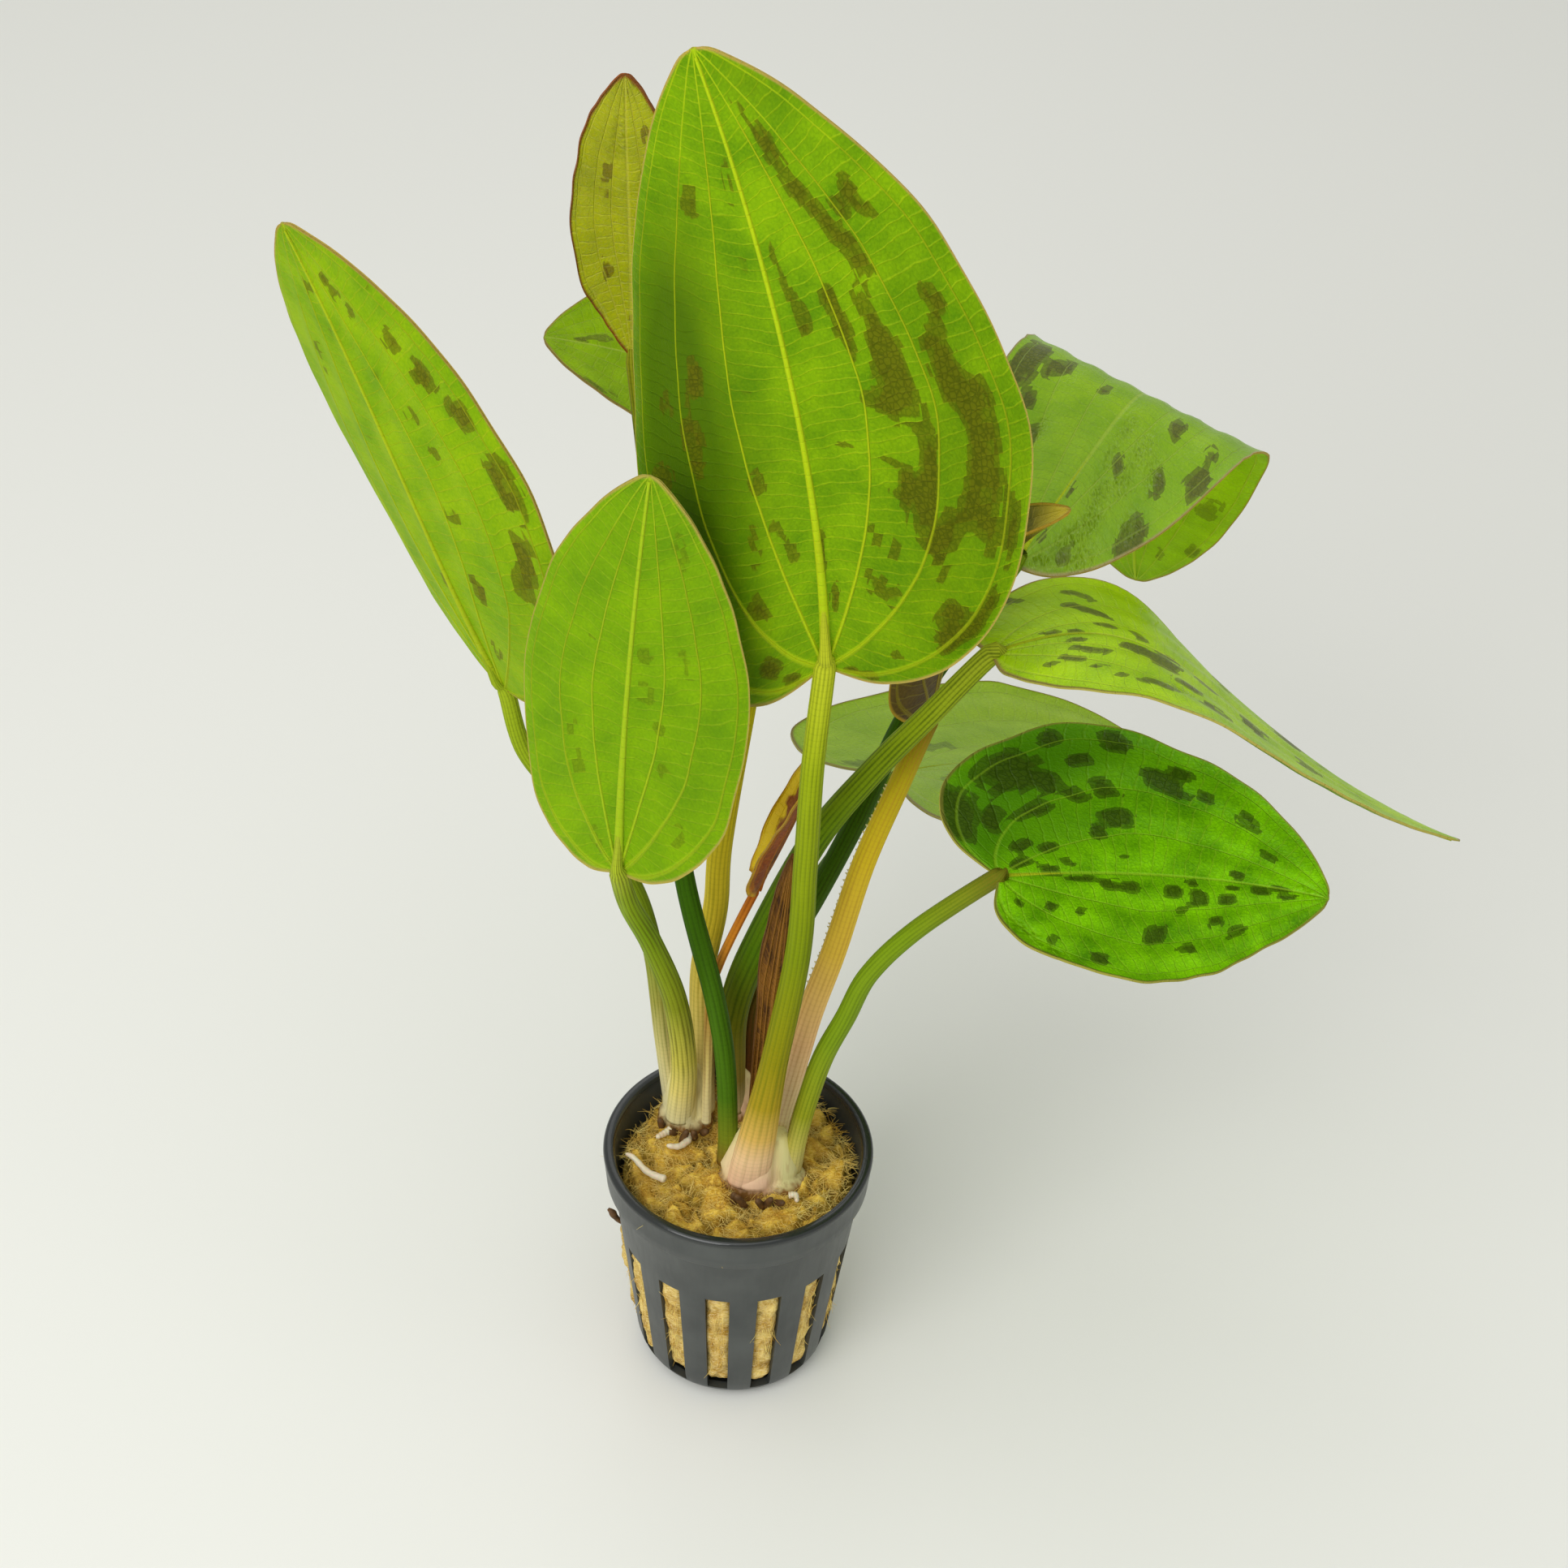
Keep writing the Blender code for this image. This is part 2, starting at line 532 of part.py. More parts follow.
make_pot()
make_wool()
make_crowns()
for leaf_name, leaf in LEAVES.items():
    leaf_kind = {"dead": "dead_leaf", "young": "young_leaf", "rolled": "young_leaf"}.get(leaf_name, "leaf")
    make_blade("leaf_" + leaf_name, leaf, leaf_kind)
    stem_kind = "dead_leaf" if leaf_name == "dead" else "stem"
    make_stem("stem_" + leaf_name, STEMS[leaf_name], leaf["joint"], stem_kind)
make_blade("sheath_dead", SHEATH, "dead_leaf")
for root_name, (root_diameter, root_route) in ROOTS.items():
    make_root("root_" + root_name, root_diameter, root_route)
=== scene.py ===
# Echinodorus, a broad-leaved water plant, potted in a slotted plastic net pot.
# Sizes are in millimetres, and a mesh turns them into metres as it is made. +Z is up, and
# the origin is the middle of the pot's underside.
import math

import bpy
import numpy as np
from mathutils import Matrix, Vector, noise


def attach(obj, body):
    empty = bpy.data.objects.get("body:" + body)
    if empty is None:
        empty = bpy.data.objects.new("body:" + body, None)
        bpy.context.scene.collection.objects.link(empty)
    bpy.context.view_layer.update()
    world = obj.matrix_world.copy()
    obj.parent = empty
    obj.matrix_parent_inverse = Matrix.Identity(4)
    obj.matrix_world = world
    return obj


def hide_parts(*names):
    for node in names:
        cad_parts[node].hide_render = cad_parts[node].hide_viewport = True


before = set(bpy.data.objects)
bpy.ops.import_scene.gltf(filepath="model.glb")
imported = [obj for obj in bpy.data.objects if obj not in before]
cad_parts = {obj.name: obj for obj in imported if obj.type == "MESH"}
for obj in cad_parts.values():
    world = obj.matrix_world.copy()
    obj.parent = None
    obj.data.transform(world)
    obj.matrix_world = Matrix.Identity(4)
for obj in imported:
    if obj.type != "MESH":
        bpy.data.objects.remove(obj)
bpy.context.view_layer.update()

# Camera
# The photograph is taken from above the plant's front, 39 degrees down, with a long lens.
# Its focal length in pixels is for a picture of 1932 by 1932.
MM = 0.001
FOCAL_PIXELS = 3800.0
PICTURE_PIXELS = 1932
SENSOR_MM = 36.0
CAMERA_AT = (5.5, -399.0, 464.0)
CAMERA_DOWN = 39.3
CAMERA_ROLL = 2.5

down, tilt = math.radians(CAMERA_DOWN), math.radians(CAMERA_ROLL)
ahead = Vector((0, math.cos(down), -math.sin(down)))
level, raised = Vector((1, 0, 0)), Vector((0, math.sin(down), math.cos(down)))
right = level * math.cos(tilt) + raised * math.sin(tilt)
upward = raised * math.cos(tilt) - level * math.sin(tilt)
lens = bpy.data.cameras.new("camera")
lens.sensor_width = SENSOR_MM
lens.lens = SENSOR_MM * FOCAL_PIXELS / PICTURE_PIXELS
lens.clip_start = 10 * MM
camera = bpy.data.objects.new("camera", lens)
turned = Matrix((right, upward, -ahead)).transposed().to_4x4()
camera.matrix_world = Matrix.Translation(Vector(CAMERA_AT) * MM) @ turned
bpy.context.scene.collection.objects.link(camera)
bpy.context.scene.camera = camera

# Studio
# A broad box of light stands in front on the left, a softer one hangs over the plant, and a
# weak one lies low behind it. The floor is matt off-white board. Lamps are in metres and watts:
# place, aim, size and power.
ROOM_WHITE = "F3F4F1"
ROOM_STRENGTH = 0.62
BOARD_WHITE = "F0F0EA"
BOARD_REACH = 9.0
LAMPS = {
    "overhead": ((-0.12, -0.30, 0.95), (0.0, -0.05, 0.10), 0.90, 2.3),
    "behind": ((-0.06, 0.72, 0.62), (0.0, 0.0, 0.18), 0.40, 0.4),
    "front": ((-0.45, -0.80, 0.75), (0.0, 0.0, 0.14), 0.75, 6.0),
}


def linear(code, share=1.0):
    """A linear colour with alpha from an sRGB hex value, darkened to a share of itself."""
    parts = [int(code[k:k + 2], 16) / 255 for k in (0, 2, 4)]
    return [share * (c / 12.92 if c <= 0.04045 else ((c + 0.055) / 1.055) ** 2.4) for c in parts] + [1.0]


def wire(node, inputs):
    """Gives a node's inputs their values or links, by place or name, and skips those that are None."""
    for socket, value in inputs.items():
        if isinstance(value, bpy.types.Node):
            value = value.outputs[0]
        if isinstance(value, bpy.types.NodeSocket):
            node.id_data.links.new(value, node.inputs[socket])
        elif value is not None:
            node.inputs[socket].default_value = value


def new_material(name):
    """An empty node material, a function that adds a node to it, and its Principled shader."""
    made = bpy.data.materials.new(name)
    made.use_nodes = True

    def add(kind, *placed, **named):
        """Adds a node: inputs come by place or by capitalised name, settings in lower case."""
        node = made.node_tree.nodes.new("ShaderNode" + kind)
        for key in [key for key in named if key[0].islower()]:
            setattr(node, key, named.pop(key))
        wire(node, dict(enumerate(placed)) | named)
        return node

    return made, add, made.node_tree.nodes["Principled BSDF"]


bpy.context.scene.view_settings.view_transform = "Standard"
room = bpy.data.worlds.new("room")
room.use_nodes = True
wire(room.node_tree.nodes["Background"], {"Color": linear(ROOM_WHITE), "Strength": ROOM_STRENGTH})
bpy.context.scene.world = room
for name, (place, aim, size, power) in LAMPS.items():
    lamp = bpy.data.lights.new(name, "AREA")
    lamp.shape = "SQUARE"
    lamp.size = size
    lamp.energy = power
    holder = bpy.data.objects.new(name, lamp)
    holder.location = place
    holder.rotation_euler = (Vector(aim) - Vector(place)).to_track_quat("-Z", "Y").to_euler()
    bpy.context.scene.collection.objects.link(holder)

board = bpy.data.meshes.new("floor")
corners = [(x * BOARD_REACH, y * BOARD_REACH, 0) for x, y in ((-1, -1), (1, -1), (1, 1), (-1, 1))]
board.from_pydata(corners, [], [(0, 1, 2, 3)])
floor = bpy.data.objects.new("floor", board)
bpy.context.scene.collection.objects.link(floor)

# Matt painted board has no shine, and drifts a little in tone over a hand's width
card, add, shader = new_material("matt_painted_board")
grain = add("TexNoise", Vector=add("TexCoord").outputs["Object"], Scale=3.0, Detail=3.0)
tone = add("MixRGB", grain, linear(BOARD_WHITE), linear(BOARD_WHITE, 0.985))
wire(shader, {"Base Color": tone, "Roughness": 0.9, "Specular IOR Level": 0.1})
board.materials.append(card)

# Tall leaf
# The biggest leaf stands upright and turns its underside to the front. A living blade about
# 0.4 mm thick, it is held up by a raised midrib and three pairs of raised lateral veins, and
# its fluted stalk grows out of the front rootstock and runs on into the midrib.
# A leaf is placed by its joint with the stalk. heading is its compass direction from above
# (0 is +X, 90 is +Y) and rise its slope there. roll turns it about its midrib, arch bends it
# down in its near and far half, sway bends it to the left and twist turns it along its length,
# all in degrees. cup is how far its left and right half curl up. lobe, widest and shoulder
# give the outline as shares of the length. fold is a bend's angle, place and reach.
# A stalk has its foot's width and depth, the way its flat side faces, its thickness half way
# and at the joint, and the route of its middle line.
BLADE_THICKNESS = 0.42
BLADE_RIM = 0.35
RIB_STEPS = 40
OUTLINE_STEPS = 201
SWELLING = 0.014
VEIN_FAN = 1.6
VEIN_STEP = 0.3
VEIN_POINTS = 60
VEIN_SIDES = 8
LEAST_REACH = 0.02
RUNG_SPACING = 1.9
RUNG_SLANT = 0.24
CELL_WIDTH = 1.6
MIDRIB_WIDTH = 0.70
LATERAL_WIDTH = 0.24
MARGIN_WIDTH = 0.34
STALK_FOOT = 48.75
STALK_RUN_ON = 0.13
STALK_END = ((0, 0.3, 1.0), (1, 0.55, 0.22))
AIR_CELL = 1.1
TALL = dict(
    joint=(11.0, -21.0, 178.0), length=101, width=65.5, heading=-102, rise=82, roll=17,
    arch=(-20, -2), sway=-24, twist=-27, cup=(20, 52), lobe=0.07, right_lobe=0.125,
    widest=0.33, shoulder=0.20)
TALL_STALK = dict(
    base=(7.6, 4.8), facing=-90, middle=4.8, top=3.5,
    route=[(2.0, -7.0), (3.3, -8.0, 60), (5.9, -10.8, 83), (9.1, -15.0, 113),
           (9.6, -19.4, 138), (9.9, -22.8, 160)])
# Brown patches, and painted shade where other leaves shadow the blade, in per cent: how far
# along the blade, where across it from -100 to 100, reach along and across, and strength
TALL_PATCHES = (
    (87, -45, 4, 10, 30), (80, -44, 5, 7, 42), (74, -46, 3, 6, 36), (72, -62, 2, 5, 40),
    (70, -50, 2, 6, 42), (66, -54, 3, 6, 50), (72, -74, 3, 6, 40), (60, -79, 2, 5, 45),
    (67, -10, 5, 3, 34), (60, -13, 3, 4, 46), (61, -31, 4, 4, 42), (56, -31, 3, 3, 30),
    (58, -46, 6, 5, 50), (52, -47, 5, 8, 62), (49, -36, 1.5, 9, 52), (53, -70, 4, 6, 60),
    (50, -78, 4, 7, 62), (43, -80, 4, 8, 62), (42, -56, 5, 3.5, 62), (40, -50, 2, 8, 60),
    (38, -68, 3, 6, 46), (36, -58, 2, 9, 40), (33, -66, 2, 7, 34), (42, -93, 3, 3, 40),
    (33, -93, 4, 3, 50), (29, -82, 3, 6, 60), (27, -90, 2.5, 4, 60), (30, -40, 2, 10, 22),
    (23, -44, 2, 8, 36), (24, -56, 2, 5, 38), (17, -80, 1.2, 5, 40), (9, -90, 2, 5, 56),
    (6, -84, 1.5, 5, 50), (24, -3, 3, 4, 44), (15, -15, 3, 5, 52), (42, -20, 0.8, 6, 36),
    (42, -38, 0.8, 5, 32), (38, -44, 0.8, 5, 30), (20, -3, 2, 3, 42), (47, 55, 3, 6, 44),
    (54, 50, 3, 5, 50), (52, 72, 1.5, 6, 30), (45, 80, 2, 8, 40), (38, 72, 2, 7, 36),
    (38, 27, 2, 5, 46), (31, 40, 3, 5, 32), (22, 55, 3, 6, 42), (14, 74, 2.5, 7, 64),
    (8, 82, 2, 8, 52), (5, 90, 1.5, 5, 60), (78, 50, 3, 9, 30), (80, 10, 3, 6, 26),
    (26, 20, 3, 4, 30), (30, 25, 2, 4, 36))
TALL_PAINTED_SHADE = (
    (60, 66, 15, 34, 100), (42, 60, 14, 40, 90), (90, -80, 6, 30, 30), (45, -70, 18, 22, 30),
    (20, 85, 12, 20, 50))


def smooth_curve(points, count):
    """Points spaced evenly along a smooth curve through the given ones (Catmull-Rom)."""
    given = np.asarray(points, float)
    ends = np.vstack([2 * given[0] - given[1], given, 2 * given[-1] - given[-2]])
    fine = []
    for i in range(1, len(ends) - 2):
        a, b, c, d = ends[i - 1:i + 3]
        for t in np.linspace(0, 1, 30, endpoint=False):
            fine.append(0.5 * (2 * b + (c - a) * t + (2 * a - 5 * b + 4 * c - d) * t ** 2
                               + (3 * b - a - 3 * c + d) * t ** 3))
    fine = np.array(fine + [given[-1]])
    run = np.r_[0, np.cumsum(np.linalg.norm(np.diff(fine, axis=0), axis=1))]
    wanted = np.linspace(0, run[-1], count)
    return np.stack([np.interp(wanted, run, fine[:, k]) for k in range(given.shape[1])], axis=1)


def bend_share(leaf, f):
    """How strongly a blade bends at places along it where it is folded over, from 0 to 1."""
    fold, place, reach = leaf.get("fold", (0, 0.5, 0.2))
    away = (np.asarray(f, float) - place) / reach
    return np.where((np.abs(away) < 1) & (fold != 0), 0.5 * (1 + np.cos(math.pi * away)), 0.0)


def midrib(leaf):
    """Points along a midrib, and the directions along it and out of the upper face."""
    heading, rise = math.radians(leaf["heading"]), math.radians(leaf["rise"])
    forth = (math.cos(heading), math.sin(heading))
    along = Vector((forth[0] * math.cos(rise), forth[1] * math.cos(rise), math.sin(rise)))
    face = Vector((-forth[0] * math.sin(rise), -forth[1] * math.sin(rise), math.cos(rise)))
    face = Matrix.Rotation(math.radians(leaf["roll"]), 3, along) @ face
    point = Vector(leaf["joint"])
    near, far = leaf["arch"]
    rails = [[tuple(point)], [tuple(along)], [tuple(face)]]
    for step in range(RIB_STEPS):
        f = (step + 0.5) / RIB_STEPS
        bend = (2 * near * (1 - f) + 2 * far * f) / RIB_STEPS
        if "fold" in leaf:
            bend += leaf["fold"][0] * float(bend_share(leaf, f)) / (leaf["fold"][2] * RIB_STEPS)
        turn = (Matrix.Rotation(-math.radians(bend), 3, along.cross(face))
                @ Matrix.Rotation(math.radians(leaf["sway"] / RIB_STEPS), 3, face)
                @ Matrix.Rotation(math.radians(leaf["twist"] / RIB_STEPS), 3, along))
        turned = (turn @ along).normalized()
        point = point + (along + turned) * (0.5 * leaf["length"] / RIB_STEPS)
        along, face = turned, (turn @ face).normalized()
        for rail, value in zip(rails, (point, along, face)):
            rail.append(tuple(value))
    return [np.array(rail) for rail in rails]


def half_outline(leaf, lobe):
    """Half of a blade's outline from joint to tip, as shares of its half width and length."""
    wide, shoulder = leaf["widest"], leaf["shoulder"]
    rest = 1 - wide
    return smooth_curve([
        (0, 0), (0.30, 0.05 * shoulder - 0.8 * lobe), (0.62, 0.22 * shoulder - lobe),
        (0.88, 0.52 * shoulder - 0.25 * lobe), (1.0, wide), (0.95, wide + 0.25 * rest),
        (0.74, wide + 0.58 * rest), (0.40, wide + 0.84 * rest), (0.12, wide + 0.975 * rest), (0, 1)],
        OUTLINE_STEPS)


def blade_surface(leaf, shares, across, ruffle=0.0, phase=0.0):
    """Places and upward directions on a blade, for shares of its length and places across it.

    across runs from -1 at the left margin to 1 at the right one. The blade swells a little
    between its veins, and its margin may be ruffled. Also gives how far along the midrib each
    place lies, and the half width there.
    """
    rails = midrib(leaf)
    s, v = np.broadcast_arrays(np.asarray(shares, float), np.asarray(across, float))
    half, length = leaf["width"] / 2, leaf["length"]
    steps = np.linspace(0, 1, OUTLINE_STEPS)
    left = half_outline(leaf, leaf["lobe"])
    other = half_outline(leaf, leaf.get("right_lobe", leaf["lobe"]))
    wide, low = (np.where(v > 0, np.interp(s, steps, other[:, k]), np.interp(s, steps, left[:, k]))
                 for k in (0, 1))
    waves = np.sin(s * 29 + 3 * phase + np.sign(v)) + 0.6 * np.sin(s * 67 + phase)
    reach = wide * half * (1 + 0.024 * ruffle * waves * np.sin(math.pi * s))
    blend = np.abs(v) ** VEIN_FAN
    down = ((1 - blend) * s + blend * low) * length
    f = np.clip(down / length, 0, 1)
    place, along, face = (
        np.stack([np.interp(f * RIB_STEPS, range(RIB_STEPS + 1), rail[:, c]) for c in range(3)], axis=-1)
        for rail in rails)
    out = np.abs(v) * reach
    side = np.cross(along, face) * np.where(v > 0, 1.0, -1.0)[..., None]
    curl = np.radians(np.where(v > 0, leaf["cup"][1], leaf["cup"][0])) / half * (1 - bend_share(leaf, f))
    curl = np.where(np.abs(curl) > 1e-6, curl, 1e-6)
    turned = (curl * out)[..., None]
    places = (place + along * np.minimum(down, 0)[..., None] + side * np.sin(turned) / curl[..., None]
              + face * (1 - np.cos(turned)) / curl[..., None])
    normals = face * np.cos(turned) - side * np.sin(turned)
    lift = SWELLING * reach * np.sin(math.pi * np.abs(v) / VEIN_STEP) ** 2
    lift = lift + ruffle * np.abs(v) ** 5 * np.sin(s * 23 + phase + np.sign(v)) * np.sin(math.pi * s) * (
        0.6 + 0.4 * np.sin(s * 51 + 2 * phase))
    return places + normals * lift[..., None], normals, down, reach


def ring_faces(rings, sides):
    """Faces of a closed skin over stacked rings of points, with a cap on each end."""
    last = (rings - 1) * sides
    faces = [tuple(range(sides))[::-1], tuple(range(last, last + sides))]
    for row in range(rings - 1):
        for side in range(sides):
            after = (side + 1) % sides
            low, high = row * sides, (row + 1) * sides
            faces.append((low + side, low + after, high + after, high + side))
    return faces


def tube_skin(centres, radii, sides, flat=1.0, ups=None):
    """Points and faces of a tube along its centres, with closed ends."""
    centres = np.asarray(centres, float)
    forward = np.gradient(centres, axis=0)
    forward /= np.linalg.norm(forward, axis=1)[:, None]
    up = np.array([0.13, 0.21, 0.97])
    points = []
    for k, centre in enumerate(centres):
        up = ups[k] if ups is not None else up
        across = np.cross(forward[k], up)
        across /= np.linalg.norm(across)
        up = np.cross(across, forward[k])
        for a in np.linspace(0, 2 * math.pi, sides, endpoint=False):
            points.append(centre + radii[k] * (across * math.cos(a) + up * flat * math.sin(a)))
    return points, ring_faces(len(centres), sides)


def add_tube(points, faces, *tube):
    """Adds a tube to the points and faces of a mesh in the making, and counts its faces."""
    ring, skins = tube_skin(*tube)
    faces += [tuple(len(points) + c for c in face) for face in skins]
    points += ring
    return len(skins)


def add_piece(name, points, faces, materials, slot, replaced=(), lower=None, **attributes):
    """A named, smooth-shaded piece that rides on the plant's one body."""
    mesh = bpy.data.meshes.new(name)
    mesh.from_pydata((np.asarray(points, float) * MM).tolist(), [], faces)
    mesh.shade_smooth()
    for material in materials:
        mesh.materials.append(material)
    if lower is not None:
        mesh.polygons.foreach_set("material_index", lower)
    for key, values in attributes.items():
        values = np.asarray(values, np.float32)
        kind, field = ("FLOAT_VECTOR", "vector") if values.ndim == 2 else ("FLOAT", "value")
        mesh.attributes.new(key, kind, "POINT").data.foreach_set(field, values.ravel())
    made = bpy.data.objects.new(name, mesh)
    bpy.context.scene.collection.objects.link(made)
    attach(made, "root")
    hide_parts(*replaced)
    return made


def add_blade(name, leaf, skins, slot, replaced, patches=(), wet=(), dusk=(), rib=(0.85, 0.24),
              lateral=(0.27, 0.09), ruffle=0.25, phase=0.0, rows=110, columns=72):
    """A blade with its upper and lower skin and its margin, and raised veins on its underside.

    rib and lateral are the radii of the midrib and of the other veins at their foot and tip.
    """
    across = np.linspace(-1, 1, columns + 1)
    across = np.sign(across) * np.abs(across) ** 0.92
    shares = np.linspace(0, 1, rows + 1) ** 1.05
    places, normals, along, reach = blade_surface(leaf, shares[:, None], across[None, :], ruffle, phase)
    s, v = np.broadcast_arrays(shares[:, None], across[None, :])

    # Both skins, which meet in one point at the joint and at the tip
    points, faces, below, where, spot = [], [], [], [], []
    index = np.zeros((2, rows + 1, columns + 1), int)
    for skin, offset in ((0, BLADE_THICKNESS / 2), (1, -BLADE_THICKNESS / 2)):
        for i in range(rows + 1):
            thin = BLADE_RIM + (1 - BLADE_RIM) * min(1.0, (1 - abs(2 * shares[i] - 1)) * 12)
            for j in range(columns + 1):
                if i in (0, rows) and j > 0:
                    index[skin, i, j] = index[skin, i, 0]
                    continue
                source = columns // 2 if i in (0, rows) else j
                index[skin, i, j] = len(points)
                points.append(places[i, source] + normals[i, source] * offset * thin)
                middle = 0.5 * (along[i, source] + shares[i] * leaf["length"])
                where.append((v[i, source], middle, max(reach[i, source], LEAST_REACH)))
                spot.append((shares[i], v[i, source]))

    def patch_of(*corners):
        """A face over corners given as skin, row and column. Those that coincide count once."""
        return tuple(dict.fromkeys(int(index[corner]) for corner in corners))

    for i in range(rows):
        for j in range(columns):
            faces.append(patch_of((0, i, j), (0, i + 1, j), (0, i + 1, j + 1), (0, i, j + 1))[::-1])
            faces.append(patch_of((1, i, j), (1, i, j + 1), (1, i + 1, j + 1), (1, i + 1, j))[::-1])
            below += [0, 1]
        for j, order in ((0, 1), (columns, -1)):
            edge = ((0, i, j), (1, i, j), (1, i + 1, j), (0, i + 1, j))
            faces.append(patch_of(*edge[::order]))
            below.append(1)

    # The midrib and three pairs of lateral veins, as flattened tubes half sunk in the underside
    for k in range(4):
        start, end = (0.03, 0.985) if k == 0 else (0.02, 0.93 - 0.05 * k)
        foot, tip = rib if k == 0 else [r * (1.25 - 0.3 * k) for r in lateral]
        for line in ((0.0,) if k == 0 else (k * VEIN_STEP, -k * VEIN_STEP)):
            run = np.linspace(start, end, VEIN_POINTS)
            centres, ups, far, wide = blade_surface(leaf, run, np.full(VEIN_POINTS, line), ruffle, phase)
            radii = np.interp(run, [start, 0.4, end], [foot, 0.35 * foot + 0.5 * tip, tip])
            centres = centres - ups * (BLADE_THICKNESS / 2 + 0.1 * radii[:, None])
            below += [1] * add_tube(points, faces, centres, radii, VEIN_SIDES, 0.8, ups)
            for share, middle, w in zip(run, 0.5 * (far + run * leaf["length"]), wide):
                where += [(line, middle, max(w, LEAST_REACH))] * VEIN_SIDES
                spot += [(share, line)] * VEIN_SIDES

    # Patches have steep edges, and wet places and painted shade soft ones
    spot = np.array(spot)
    fields = {}
    for key, marks, edge in (("blotch", patches, 4), ("wet", wet, 2), ("dusk", dusk, 2)):
        total = np.zeros(len(spot))
        for mark in marks:
            share, place, long, broad, strength = (part / 100 for part in mark)
            off = ((spot[:, 0] - share) / long) ** edge + ((spot[:, 1] - place) / broad) ** edge
            total += strength * np.exp(-off)
        fields[key] = np.minimum(total, 1.0)
    return add_piece(name, points, faces, skins, slot, replaced, below, leaf=where, **fields)


